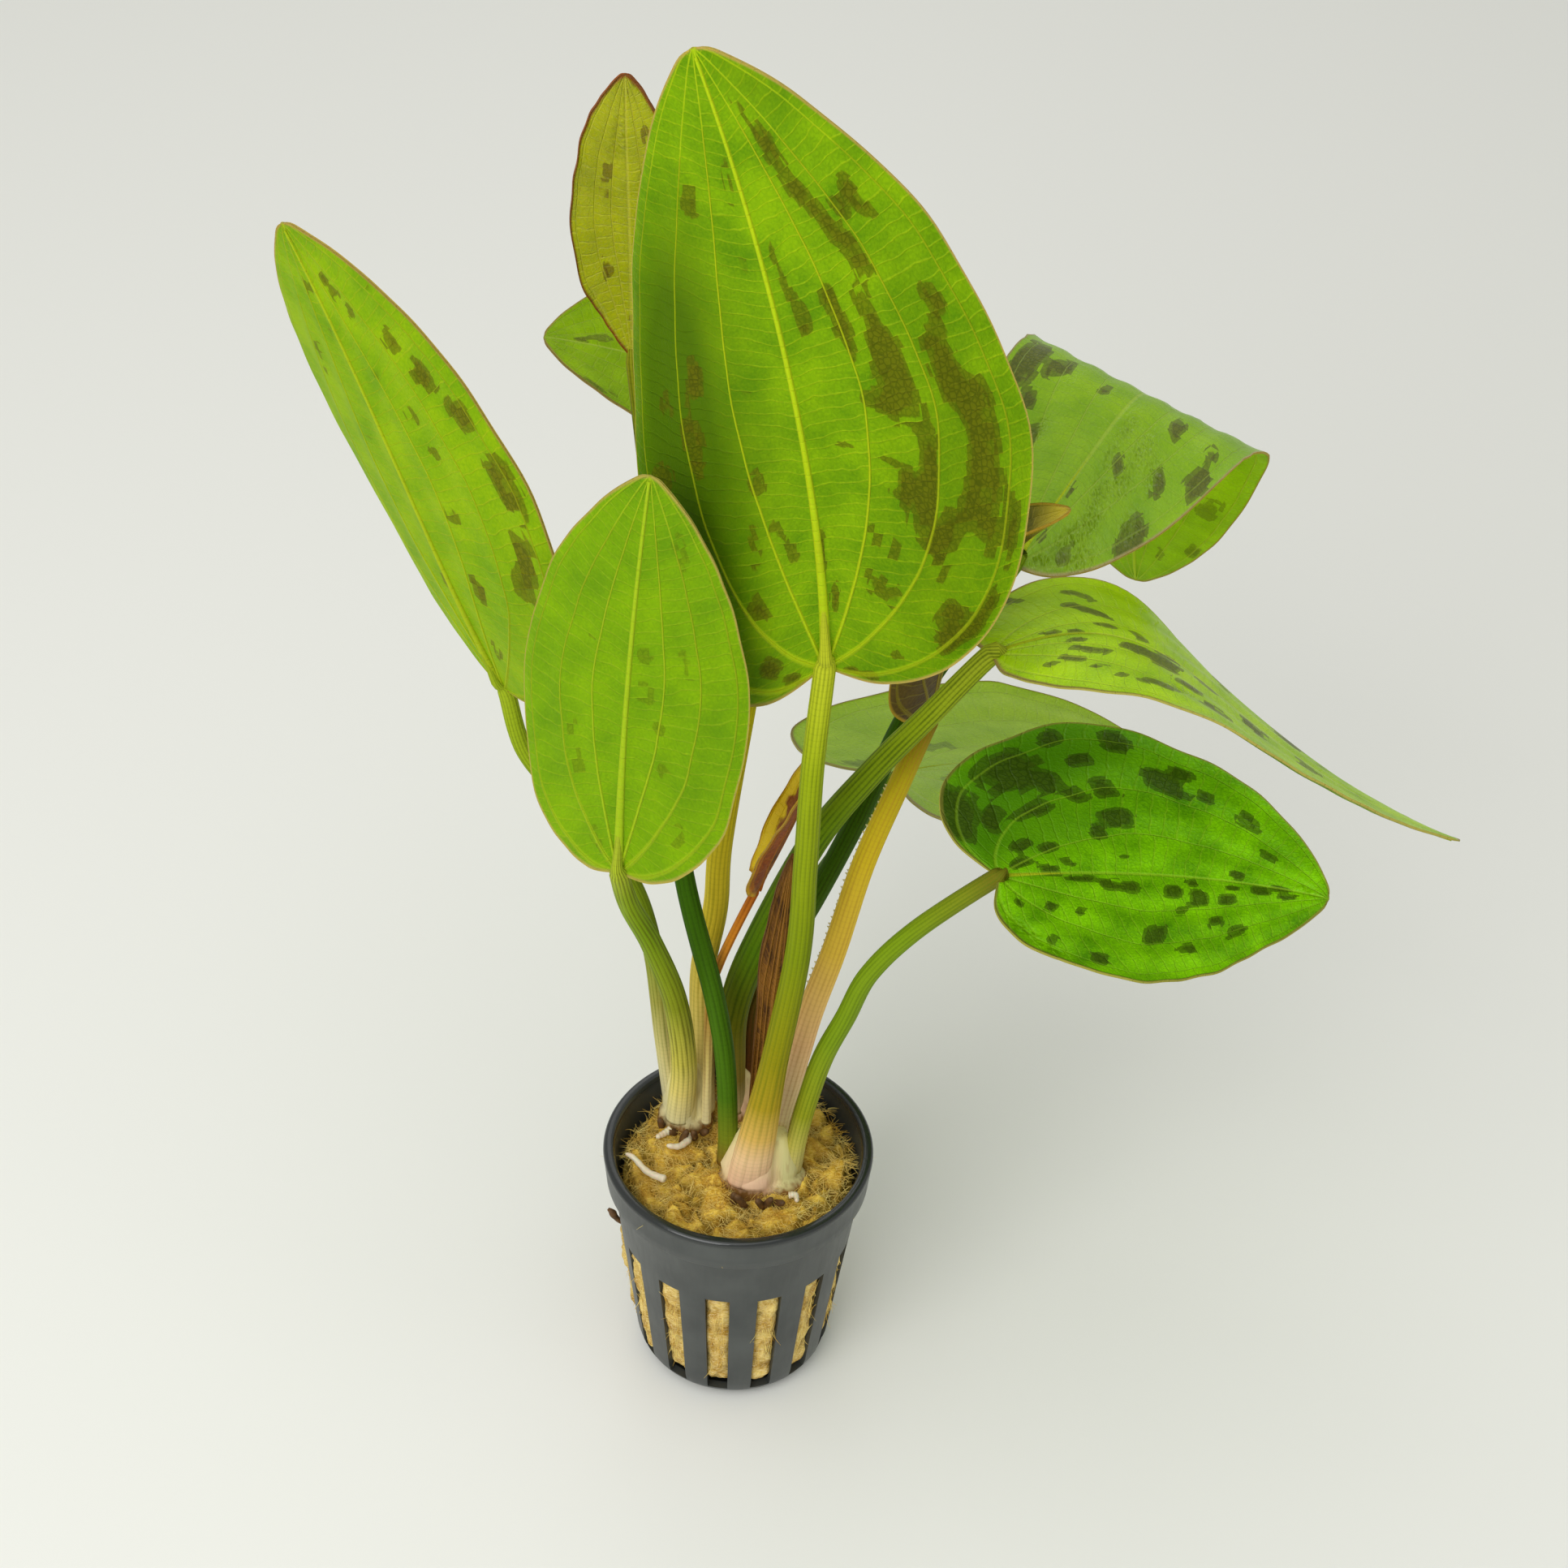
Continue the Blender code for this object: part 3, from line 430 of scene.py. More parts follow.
def leaf_skin(name, leaf, colours, underside, cover=0.85, rungs=0.5, weave=0.22, rough=0.55, shine=0.05,
              glow=0.0, wet=False, patchy=0.34, clouds=0.40, mottle=0.35, tip=None, edge=None, dusk=None):
    """One face of a leaf. Its colours are the tissue, its dark parts, the veins, patches and margin.

    Living tissue looks matt below, where raised veins catch the light, and waxy above. tip
    colours the last tenth of the blade, and edge a ragged strip along its left side. The
    colour given for painted shade darkens broad parts with painted shade, where other leaves
    shadow the blade. glow is light that passes through the thin blade.
    """
    tissue, dark, vein, patch, rim = colours.split()
    made, add, shader = new_material(name)
    place = add("SeparateXYZ", add("Attribute", attribute_name="leaf").outputs["Vector"])
    side, run, reach = place.outputs
    away = add("Math", side, operation="ABSOLUTE")
    out = add("Math", away, reach, operation="MULTIPLY")
    flat = add("CombineXYZ", add("Math", side, reach, operation="MULTIPLY"), run)
    # Clouds of tone are 9 mm across, and the speckle of single cells, drawn coarser, 0.4 mm
    broad = add("TexNoise", Vector=flat, Scale=0.11, Detail=3.0, Roughness=0.55).outputs[0]
    fine = add("TexNoise", Vector=flat, Scale=2.4, Detail=1.0).outputs[0]

    # Main veins stand at even steps across the blade, and thin towards the tip
    gap = add("Math", away, VEIN_STEP / 2, operation="PINGPONG")
    gap = add("Math", gap, reach, operation="MULTIPLY")
    taper = add("Math", run, 1.5 / leaf["length"], 1.0, operation="MULTIPLY_ADD")
    gap = add("Math", gap, taper, operation="MULTIPLY")
    first = add("Math", away, VEIN_STEP / 2, operation="LESS_THAN")
    wide = add("Math", first, MIDRIB_WIDTH - LATERAL_WIDTH, LATERAL_WIDTH, operation="MULTIPLY_ADD")
    gap = add("Math", gap, wide, operation="DIVIDE")
    full, gone = (0.5, 1.5) if underside else (0.2, 1.1)
    veins = add("MapRange", gap, full, gone, 1.0, 0.0, interpolation_type="SMOOTHSTEP")

    # Cross veins stand like a ladder's rungs between the main ones, with a net of 0.8 mm cells
    strip = add("Math", add("Math", away, VEIN_STEP, operation="DIVIDE"), operation="FLOOR")
    rung = add("Math", out, -RUNG_SLANT, run, operation="MULTIPLY_ADD")
    rung = add("Math", broad, 3.4, rung, operation="MULTIPLY_ADD")
    rung = add("Math", rung, RUNG_SPACING, operation="DIVIDE")
    rung = add("Math", strip, 0.37, rung, operation="MULTIPLY_ADD")
    near = add("Math", rung, 0.5, operation="PINGPONG")
    ladder = add("MapRange", near, 0.02, 0.09, 1.0, 0.0, interpolation_type="SMOOTHSTEP")
    net = add("TexVoronoi", Vector=flat, Scale=1.3, Randomness=0.8, feature="DISTANCE_TO_EDGE")
    net = add("MapRange", net, 0.0, 0.16, 1.0, 0.0)

    # Brown pigment fills whole cells between fine veins, so its patches have stepped edges.
    # The cells are drawn coarser than the real ones of about half a millimetre.
    across = add("Math", side, leaf["width"] / 2 / CELL_WIDTH, operation="MULTIPLY")
    tile = add("CombineXYZ", add("Math", across, operation="FLOOR"), add("Math", rung, operation="FLOOR"))
    chance = add("TexWhiteNoise", Vector=tile, noise_dimensions="3D").outputs["Value"]
    blotch = add("Attribute", attribute_name="blotch").outputs["Fac"]
    field = add("Math", chance, patchy, blotch, operation="MULTIPLY_ADD")
    field = add("Math", broad, clouds, field, operation="MULTIPLY_ADD")
    brown = add("MapRange", field, 0.58, 0.61)
    deep = add("MapRange", field, 0.78, 0.86)
    brown = add("Math", brown, 0.76 * cover, operation="MULTIPLY")
    brown = add("Math", deep, 0.24 * cover, brown, operation="MULTIPLY_ADD")

    # Colours of the tissue
    shade = add("Math", fine, mottle, broad, operation="MULTIPLY_ADD")
    shade = add("MapRange", shade, 0.34 + 0.5 * mottle, 0.70 + 0.5 * mottle)
    colour = add("MixRGB", shade, linear(tissue), linear(dark))
    colour = add("MixRGB", add("Math", ladder, rungs, operation="MULTIPLY"), colour, linear(vein))
    colour = add("MixRGB", add("Math", net, weave, operation="MULTIPLY"), colour, linear(dark))
    # Painted shade: broad parts darken where other leaves shadow the blade
    if dusk:
        shade_mask = add("Attribute", attribute_name="dusk").outputs["Fac"]
        colour = add("MixRGB", shade_mask, colour, linear(dusk))
    tint = add("MixRGB", net, linear(patch, 1.15), linear(patch, 0.6))
    colour = add("MixRGB", brown, colour, tint)
    faint = add("Math", away, -0.35, 0.8 if underside else 0.6, operation="MULTIPLY_ADD")
    faint = add("Math", veins, faint, operation="MULTIPLY")
    colour = add("MixRGB", faint, colour, linear(vein))
    if edge:
        left = add("Math", broad, -1.6, side, operation="MULTIPLY_ADD")
        left = add("MapRange", left, -1.35, -1.25, 1.0, 0.0)
        colour = add("MixRGB", left, colour, linear(edge))
    if tip:
        end = add("MapRange", run, 0.84 * leaf["length"], 0.97 * leaf["length"])
        colour = add("MixRGB", end, colour, linear(tip))
    inside = add("Math", reach, out, operation="SUBTRACT")
    hem = add("MapRange", inside, 0.3 * MARGIN_WIDTH, MARGIN_WIDTH, 1.0, 0.0)
    colour = add("MixRGB", hem, colour, linear(rim))

    # Finish: veins stand up on the underside and sink in above, and wet places shine
    ridge = add("Math", ladder, 0.6, veins, operation="MULTIPLY_ADD")
    ridge = add("Math", ridge, 1.0 if underside else -0.8, operation="MULTIPLY")
    ridge = add("Math", net, 0.22, ridge, operation="MULTIPLY_ADD")
    ridge = add("Math", fine, 0.3, ridge, operation="MULTIPLY_ADD")
    gloss = add("Math", fine, 0.14, rough - 0.07, operation="MULTIPLY_ADD")
    if wet:
        soak = add("Attribute", attribute_name="wet").outputs["Fac"]
        gloss = add("MapRange", soak, None, None, gloss, 0.05)
        film = add("Math", fine, soak, operation="MULTIPLY")
        colour = add("MixRGB", film, colour, linear(tissue, 0.62))
        pearls = add("TexVoronoi", Vector=flat, Scale=1.15, feature="SMOOTH_F1").outputs["Distance"]
        pearls = add("Math", pearls, soak, operation="MULTIPLY")
        ridge = add("Math", pearls, -9.0, ridge, operation="MULTIPLY_ADD")
    bump = add("Bump", Strength=0.8, Distance=0.16 * MM, Height=ridge)
    wire(shader, {"Base Color": colour, "Roughness": gloss, "Normal": bump, "Specular IOR Level": shine})
    if glow:
        wire(shader, {"Subsurface Weight": glow, "Subsurface Radius": (0.55, 1.0, 0.12),
                      "Subsurface Scale": 0.7 * MM})
    return made


def stalk_path(stalk, leaf, count=150):
    """A stalk's middle line from its foot to the joint, and on under the midrib's first part.

    Also gives its width, thickness and share of the way to the joint at each point.
    """
    foot = (*stalk["route"][0], STALK_FOOT)
    shares = np.array([0.025, 0.07, STALK_RUN_ON])
    under, normals, _, _ = blade_surface(leaf, shares, np.zeros(3))
    sink = BLADE_THICKNESS / 2 + 0.55 * stalk["top"] / 2 * np.interp(shares / STALK_RUN_ON, *STALK_END)
    under = under - normals * sink[:, None]
    path = smooth_curve([foot, *stalk["route"][1:], leaf["joint"], *under], count)
    run = np.r_[0, np.cumsum(np.linalg.norm(np.diff(path, axis=0), axis=1))]
    joint_run = run[np.argmin(np.linalg.norm(path - np.array(leaf["joint"]), axis=1))]
    share = np.minimum(run / joint_run, 1)
    past = np.maximum(run - joint_run, 0) / (STALK_RUN_ON * leaf["length"])
    swell = np.minimum(share / 0.3, 1)
    swell = swell * swell * (3 - 2 * swell)
    size = stalk["middle"] + (stalk["top"] - stalk["middle"]) * np.maximum(0, (share - 0.3) / 0.7)
    thin = np.interp(past, *STALK_END)
    wide, thick = ((foot_size * (1 - swell) + size * swell) * thin for foot_size in stalk["base"])
    return path, run, share, wide, thick


def add_stalk(name, stalk, leaf, material, slot, replaced, flutes=16, groove=0.05, sides=64):
    """A fluted stalk with a flattened foot."""
    path, run, share, wide, thick = stalk_path(stalk, leaf)
    facing = math.radians(stalk["facing"])
    outward = np.array((math.cos(facing), math.sin(facing), 0))
    forward = np.gradient(path, axis=0)
    forward /= np.linalg.norm(forward, axis=1)[:, None]
    upright = np.maximum(0, 1 - share * 8)[:, None]
    axis = forward * (1 - upright) + np.array((0, 0, 1.0)) * upright
    axis /= np.linalg.norm(axis, axis=1)[:, None]
    across = np.cross(axis, outward)
    across /= np.linalg.norm(across, axis=1)[:, None]
    out = np.cross(across, axis)
    turn = np.linspace(0, 2 * math.pi, sides, endpoint=False)
    depth = groove * (0.5 + 0.5 * np.cos(flutes * turn))[None, :]
    carve = 1 - depth * np.minimum(share * 5, 1)[:, None]
    shape_x = wide[:, None] / 2 * np.sin(turn) * carve
    shape_y = thick[:, None] / 2 * np.cos(turn) * carve
    points = path[:, None, :] + across[:, None, :] * shape_x[..., None] + out[:, None, :] * shape_y[..., None]
    marks = np.stack(np.broadcast_arrays(np.sin(turn) * 2, np.cos(turn) * 2, run[:, None]), axis=-1)
    return add_piece(name, points.reshape(-1, 3), ring_faces(len(path), sides), [material], slot, replaced,
                     stalk=marks.reshape(-1, 3), share=np.repeat(share, sides))


def stalk_skin(name, stops, stripe, flutes=16, stripes=0.45, rough=0.55):
    """The satin skin of a stalk. Its colour changes from foot to top, with stripes along its flutes.

    Air cells inside it show as faint cross lines.
    """
    made, add, shader = new_material(name)
    place = add("Attribute", attribute_name="stalk").outputs["Vector"]
    x, y, run = add("SeparateXYZ", place).outputs
    height = add("Attribute", attribute_name="share").outputs["Fac"]
    ramp = add("ValToRGB", height)
    while len(ramp.color_ramp.elements) < len(stops):
        ramp.color_ramp.elements.new(1.0)
    for mark, (at, code) in zip(ramp.color_ramp.elements, stops):
        mark.position = at
        mark.color = linear(code)
    # Streaks are about as wide as a flute and 11 mm long
    drawn = add("Mapping", Vector=place, Scale=(1.0, 1.0, 0.07))
    streak = add("TexNoise", Vector=drawn, Scale=1.3, Detail=3.0).outputs[0]
    turn = add("Math", x, y, operation="ARCTAN2")
    ribs = add("Math", add("Math", turn, float(flutes), operation="MULTIPLY"), operation="COSINE")
    ribs = add("Math", ribs, 0.30, streak, operation="MULTIPLY_ADD")
    ribs = add("MapRange", ribs, 0.45, 0.85)
    line = add("Math", run, AIR_CELL / 2, operation="PINGPONG")
    line = add("MapRange", line, 0.0, 0.16, 1.0, 0.0)
    calm = add("MapRange", height, 0.02, 0.2, 0.2 * stripes, stripes)
    share = add("Math", ribs, calm, operation="MULTIPLY")
    share = add("Math", line, 0.12, share, operation="MULTIPLY_ADD")
    colour = add("MixRGB", share, ramp.outputs[0], linear(stripe))
    relief = add("Math", line, -0.3, ribs, operation="MULTIPLY_ADD")
    bump = add("Bump", Strength=0.5, Distance=0.15 * MM, Height=relief)
    gloss = add("Math", streak, 0.2, rough - 0.1, operation="MULTIPLY_ADD")
    wire(shader, {"Base Color": colour, "Normal": bump, "Roughness": gloss, "Specular IOR Level": 0.05})
    return made


def grow_leaf(name, leaf, stalk, patches, upper, under, stops, stripe, stripes=0.45, flutes=16,
              slot="leaf", **blade):
    """A living leaf: its blade with the skins of both faces, and the stalk that carries it."""
    skins = [leaf_skin("leaf_upper_" + name, leaf, underside=False, **upper),
             leaf_skin("leaf_underside_" + name, leaf, underside=True, **under)]
    add_blade("blade_" + name, leaf, skins, slot, ["leaf_" + name], patches, **blade)
    skin = stalk_skin("stalk_skin_" + name, stops, stripe, flutes, stripes)
    add_stalk("stalk_" + name, stalk, leaf, skin, "stem", ["stem_" + name], flutes)


# The underside is matt and lets light through, with brown in whole cells, and painted shade
# darkens a broad part of it where other leaves shadow it. The upper face is darker and has the soft shine of
# wax.
grow_leaf(
    "tall", TALL, TALL_STALK, TALL_PATCHES,
    upper=dict(colours="648E10 44700A 94AE3A 45430C A08A48", rough=0.34, shine=0.45, rungs=0.25,
               glow=0.4),
    under=dict(colours="86AD05 5B8904 B7CB18 5C5B07 B29A4C", glow=0.55, rungs=0.34, dusk="4C6C03"),
    stops=((0.0, "F8CCA8"), (0.06, "F6D09C"), (0.11, "DCB45C"), (0.18, "AA9222"), (0.28, "8E880E"),
           (0.5, "7E900A"), (0.85, "98AA12"), (1.0, "BCC52A")),
    stripe="5E6E0C", dusk=TALL_PAINTED_SHADE, phase=0.4)

# Front left leaf
# A smaller upright leaf in front of the tall one, also seen from its underside. Its pigment is
# faint, and its stalk hangs from the blade in a short bend and rises from the left rootstock.
FRONT_LEFT = dict(
    joint=(-20.2, -28.0, 140.5), length=73, width=38.5, heading=-105, rise=92, roll=-4,
    arch=(-4, -1), sway=4, twist=4, cup=(20, 25), lobe=0.03, widest=0.40, shoulder=0.33)
FRONT_LEFT_STALK = dict(
    base=(5.2, 4.4), facing=-90, middle=4.6, top=3.2,
    route=[(-11.4, 8.5), (-10.6, 5.5, 66), (-12.2, -1.0, 88), (-16.0, -8.5, 108), (-19.2, -18.0, 125)])
FRONT_LEFT_PATCHES = (
    (58, -15, 2, 10, 30), (50, -12, 3, 10, 28), (43, -30, 1.5, 5, 42), (57, -50, 3, 8, 28),
    (35, -42, 2, 8, 30), (27, -75, 3, 8, 30), (36, 50, 7, 6, 30), (60, 37, 2, 7, 32),
    (14, 60, 4, 10, 34), (80, -70, 4, 12, 26))

# A matt underside with fainter brown, and a stalk with olive-brown stripes
grow_leaf(
    "front_left", FRONT_LEFT, FRONT_LEFT_STALK, FRONT_LEFT_PATCHES,
    upper=dict(colours="64900F 47740A 8FAE38 4A4C0C A08A48", rough=0.34, shine=0.45, rungs=0.2,
               glow=0.4),
    under=dict(colours="80A906 64900A A6BE20 62720A A99A48", glow=0.4, clouds=0.34, cover=0.6,
               rungs=0.28),
    stops=((0.0, "F2EAB0"), (0.10, "EBDA7C"), (0.2, "CEC452"), (0.4, "8A9422"), (0.7, "7A9A12"),
           (0.9, "8BA416"), (1.0, "A4B52A")),
    stripe="54540E", stripes=0.6, phase=1.7, ruffle=0.35)

# Far left leaf
# A long leaf that leans out to the left. Its underside faces the front, and its brown pigment
# lies in a row of blocks along its right side.
FAR_LEFT = dict(
    joint=(-41.4, 6.3, 150.0), length=88.5, width=60, heading=202, rise=68, roll=16,
    arch=(-13, 3), sway=-24, twist=10, cup=(24, 21), lobe=0.0, widest=0.41, shoulder=0.30)
FAR_LEFT_STALK = dict(
    base=(4.0, 3.6), facing=150, middle=3.8, top=3.0,
    route=[(-12.9, 13.3), (-14.6, 11.0, 68), (-16.5, 7.0, 92), (-20.5, 2.0, 113),
           (-30.0, 1.5, 129), (-38.2, 4.0, 139)])
FAR_LEFT_PATCHES = (
    (87, -45, 1.5, 10, 42), (84, -45, 1.2, 10, 40), (80, -48, 1.5, 8, 42), (72, -70, 2, 8, 44),
    (66, -75, 2, 8, 46), (60, -85, 2, 8, 46), (53, -85, 3, 9, 56), (46, -80, 2.5, 8, 46),
    (42, -75, 2, 8, 44), (38, -88, 3, 8, 56), (31, -90, 4, 8, 60), (56, -45, 1.2, 4, 46),
    (47, -36, 2, 6, 38), (62, -42, 1.5, 5, 26), (33, -38, 3, 6, 52), (17, -45, 3, 8, 40),
    (87, 20, 2, 10, 34), (70, 50, 4, 7, 28), (27, 10, 2, 6, 32))

# A matt yellow-green underside with dark brown blocks, and a stalk that is cream at its foot
grow_leaf(
    "far_left", FAR_LEFT, FAR_LEFT_STALK, FAR_LEFT_PATCHES,
    upper=dict(colours="668F10 48740A 90AC38 48460C A08A48", rough=0.34, shine=0.45, rungs=0.2,
               glow=0.4),
    under=dict(colours="90B206 6C9806 A9B61C 5E5808 A98F42", glow=0.4, rungs=0.38),
    stops=((0.0, "E6DDB4"), (0.14, "D3C884"), (0.28, "A5A04A"), (0.45, "7F9420"), (0.8, "86A014"),
           (1.0, "9CB120")),
    stripe="5F6E12", stripes=0.5, phase=2.9)

# Young leaf
# A narrow young leaf stands behind the tall one and shows its glossy upper face. It is still
# yellow-brown, with a wavy red-brown margin.
YOUNG = dict(
    joint=(-21.4, 22.0, 205.0), length=60, width=18, heading=82, rise=93, roll=-6,
    arch=(-15, -7), sway=-5, twist=12, cup=(27, 29), lobe=-0.05, widest=0.46, shoulder=0.46)
YOUNG_STALK = dict(
    base=(3.8, 3.4), facing=-120, middle=3.8, top=2.4,
    route=[(-2.1, -2.4), (-2.0, -1.8, 56), (-2.9, 0.0, 72), (-5.3, 1.5, 87), (-11.2, 6.0, 111),
           (-15.0, 12.0, 138), (-17.0, 17.0, 168)])
YOUNG_PATCHES = (
    (50, 35, 2, 10, 46), (62, -40, 3, 12, 30), (35, -50, 4, 12, 40), (75, 55, 3, 12, 30),
    (22, 30, 5, 16, 36), (10, 0, 5, 30, 30))

# A glossy, moist upper face in yellow and ochre clouds, which shows that the tissue is soft
grow_leaf(
    "young", YOUNG, YOUNG_STALK, YOUNG_PATCHES,
    upper=dict(colours="C0C216 A0A610 D0CC44 6E5410 8A4A14", rough=0.26, shine=0.3, rungs=0.4,
               wet=True, clouds=0.46, glow=0.3),
    under=dict(colours="9AA012 7C860E BDB63A 6E5410 8A4A14", shine=0.2),
    stops=((0.0, "8A6A2A"), (0.04, "76821E"), (0.10, "4A7012"), (0.4, "3C6608"), (0.7, "56760A"),
           (1.0, "9A9A1E")),
    stripe="2E4A08", flutes=12, stripes=0.5, slot="young_leaf",
    wet=((62, 45, 5, 16, 90), (45, 60, 4, 14, 80), (75, -20, 8, 20, 60)), ruffle=0.7, phase=0.9,
    rib=(0.45, 0.16), lateral=(0.20, 0.08), rows=90, columns=40)

# Back left leaf
# This leaf shows only its tip to the left of the young one. Its far half is bright in the
# light, and its near half turns a pale grey-green face to the front.
BACK_LEFT = dict(
    joint=(6.0, 46.0, 181.8), length=45.8, width=44, heading=177, rise=20, roll=-8,
    arch=(0, 9), sway=10, twist=7, cup=(12, 30), lobe=0.05, widest=0.38, shoulder=0.12)
BACK_LEFT_STALK = dict(
    base=(4.8, 4.4), facing=-60, middle=4.6, top=3.0,
    route=[(-7.1, 11.3), (-7.6, 13.2, 66), (-7.8, 14.6, 81), (-5.8, 15.2, 96), (-5.2, 17.0, 110),
           (-1.9, 24.0, 134), (1.8, 34.0, 158)])
BACK_LEFT_PATCHES = (
    (80, 20, 5, 10, 46), (72, 45, 3, 12, 46), (86, 10, 3, 10, 40), (76, -95, 5, 7, 50),
    (50, 60, 3, 10, 50), (40, -40, 4, 10, 50), (30, 30, 3, 8, 50), (55, -10, 3, 6, 46))

# An upper face bright with light that comes through it, and a yellow stalk
grow_leaf(
    "back_left", BACK_LEFT, BACK_LEFT_STALK, BACK_LEFT_PATCHES,
    upper=dict(colours="90B40C 74980A A8BE48 5E6420 A08A48", rough=0.40, shine=0.04, rungs=0.2,
               glow=0.3),
    under=dict(colours="82A50A 628D0A A9B61C 5E5C10 A08A48"),
    stops=((0.0, "F2E8B8"), (0.12, "F0DC80"), (0.3, "E8CE3A"), (0.55, "DCCA18"), (0.8, "BEC216"),
           (1.0, "9CB01E")),
    stripe="A0901A", stripes=0.5, phase=4.1, rows=80)

# Folded leaf
# The leaf at the upper right arches back and folds down over its middle. Its near half shows
# the waxy upper face, still wet in places, and under its pale margin the underside of the tip
# comes forward again.
FOLDED = dict(
    joint=(42.5, 30.0, 162.5), length=116, width=47, heading=59.5, rise=18, roll=19,
    arch=(-10, -16), sway=-7.5, twist=-22, cup=(19, 17), lobe=0.0, widest=0.44, shoulder=0.44,
    fold=(103.5, 0.40, 0.17))
FOLDED_STALK = dict(
    base=(4.4, 4.0), facing=60, middle=4.2, top=3.2,
    route=[(1.2, 16.0), (1.0, 16.0, 60), (1.6, 16.2, 73), (6.1, 17.0, 84), (11.4, 17.5, 96),
           (19.1, 20.0, 115), (27.5, 24.5, 137)])
FOLDED_PATCHES = (
    (42, -87, 3.5, 10, 70), (41, -64, 2, 9, 60), (36, -75, 1.5, 5, 50), (29, -64, 2, 6, 48),
    (37, -26, 1.5, 6, 46), (39.5, 46, 1.5, 7, 62), (27, 34, 1.2, 9, 62), (34, 70, 1.2, 9, 66),
    (39.5, 90, 1.8, 8, 68), (42, 80, 1, 6, 42), (28.5, 93, 2.5, 12, 95), (14, 80, 2, 10, 62),
    (8, 30, 1.2, 10, 46), (17, 10, 1.5, 5, 36), (64, 75, 3, 10, 40), (76, 88, 2.5, 8, 46),
    (84, 60, 2, 10, 40), (99.5, 0, 0.8, 100, 80), (30, -90, 2, 6, 50), (60, -40, 3, 8, 44),
    (70, 10, 3, 8, 44))
FOLDED_WET = (
    (30, -60, 2, 5, 90), (31, 16, 3, 8, 80), (26, 22, 2, 8, 80), (32, 40, 3, 10, 90),
    (27, 50, 2.5, 10, 100), (33, 62, 2, 10, 80), (22, 42, 3, 12, 90), (28, 84, 2, 10, 100),
    (20, 62, 3, 10, 90), (15, 66, 4, 16, 100), (8, 78, 5, 18, 100), (18, 90, 4, 10, 90))

# A waxy upper face whose wet places mirror the lamps, and a bright, matt underside
grow_leaf(
    "folded", FOLDED, FOLDED_STALK, FOLDED_PATCHES,
    upper=dict(colours="96C010 7AA80A A8C43C 54501C B9A86A", rough=0.33, shine=0.32, rungs=0.12,
               wet=True),
    under=dict(colours="A6D206 84B006 BCD428 5C5C08 AE9440", rungs=0.2, cover=0.6, glow=0.3),
    stops=((0.0, "7A4A2C"), (0.14, "6E4A22"), (0.25, "5A5414"), (0.4, "3F600C"), (0.8, "386008"),
           (1.0, "7C9A14")),
    stripe="2E3A08", stripes=0.55, wet=FOLDED_WET, phase=5.2, rows=140)

# Drooping leaf
# The long leaf on the right rises a little and then hangs to a thin point. Its near half is
# bright yellow-green and its far half pale with the sheen of the sky light.
DROOPING = dict(
    joint=(37.9, 0.5, 165.8), length=88.5, width=48, heading=24, rise=11, roll=-7,
    arch=(10, -41), sway=-62, twist=-12.5, cup=(-21, 11), lobe=0.03, widest=0.45, shoulder=0.40,
    fold=(54.5, 0.25, 0.30))
DROOPING_STALK = dict(
    base=(5.2, 4.8), facing=-120, middle=5.8, top=3.6,
    route=[(-1.6, 12.0), (-2.0, 11.7, 60), (-1.9, 11.4, 74), (1.4, 10.8, 89), (10.7, 8.5, 117),
           (20.3, 4.8, 137), (29.4, 0.8, 153.5)])
DROOPING_PATCHES = (
    (28, -55, 1.5, 10, 62), (28.5, -43, 1.2, 7, 55), (25, -22, 1.8, 8, 62), (17, -5, 1.5, 7, 50),
    (13, -13, 2, 10, 52), (30, -15, 1.5, 10, 55), (18, 22, 2, 6, 50), (24, 45, 2.5, 7, 60),
    (20, 42, 2, 6, 60), (28, 18, 2, 7, 62), (32, 20, 3, 8, 80), (36, 24, 2.5, 10, 80),
    (35, 5, 3, 7, 50), (22, 62, 3, 5, 60), (20, 75, 2, 6, 50), (29, 70, 1, 4, 50),
    (34, 75, 1, 4, 50), (40, 70, 3, 7, 62), (42, 45, 2.5, 7, 62), (27, -95, 1.5, 10, 62),
    (33, -75, 1, 8, 50), (44, 10, 3, 7, 52), (48, 60, 3, 8, 46), (55, 20, 3, 11, 46),
    (62, -40, 3, 11, 46), (68, 30, 3, 14, 42), (50, -50, 3, 11, 50))

# A satin yellow-green upper face with a few wet places, and a dark green striped stalk
grow_leaf(
    "drooping", DROOPING, DROOPING_STALK, DROOPING_PATCHES,
    upper=dict(colours="B2DA08 8EBA06 BED044 54561E A08A48", rough=0.34, shine=0.14, rungs=0.12,
               wet=True),
    under=dict(colours="80A30A 62880A A9B61C 5E5C10 A8A04A"),
    stops=((0.0, "C8B684"), (0.07, "8E7A34"), (0.18, "6E7016"), (0.34, "557A0E"), (0.6, "6C8C0C"),
           (0.85, "8FA312"), (1.0, "ABB828")),
    stripe="364E0A", stripes=0.6, wet=((3, -60, 3, 30, 90), (10, 0, 10, 4, 80), (42, 62, 2, 8, 70)),
    phase=3.3, ruffle=0.4)

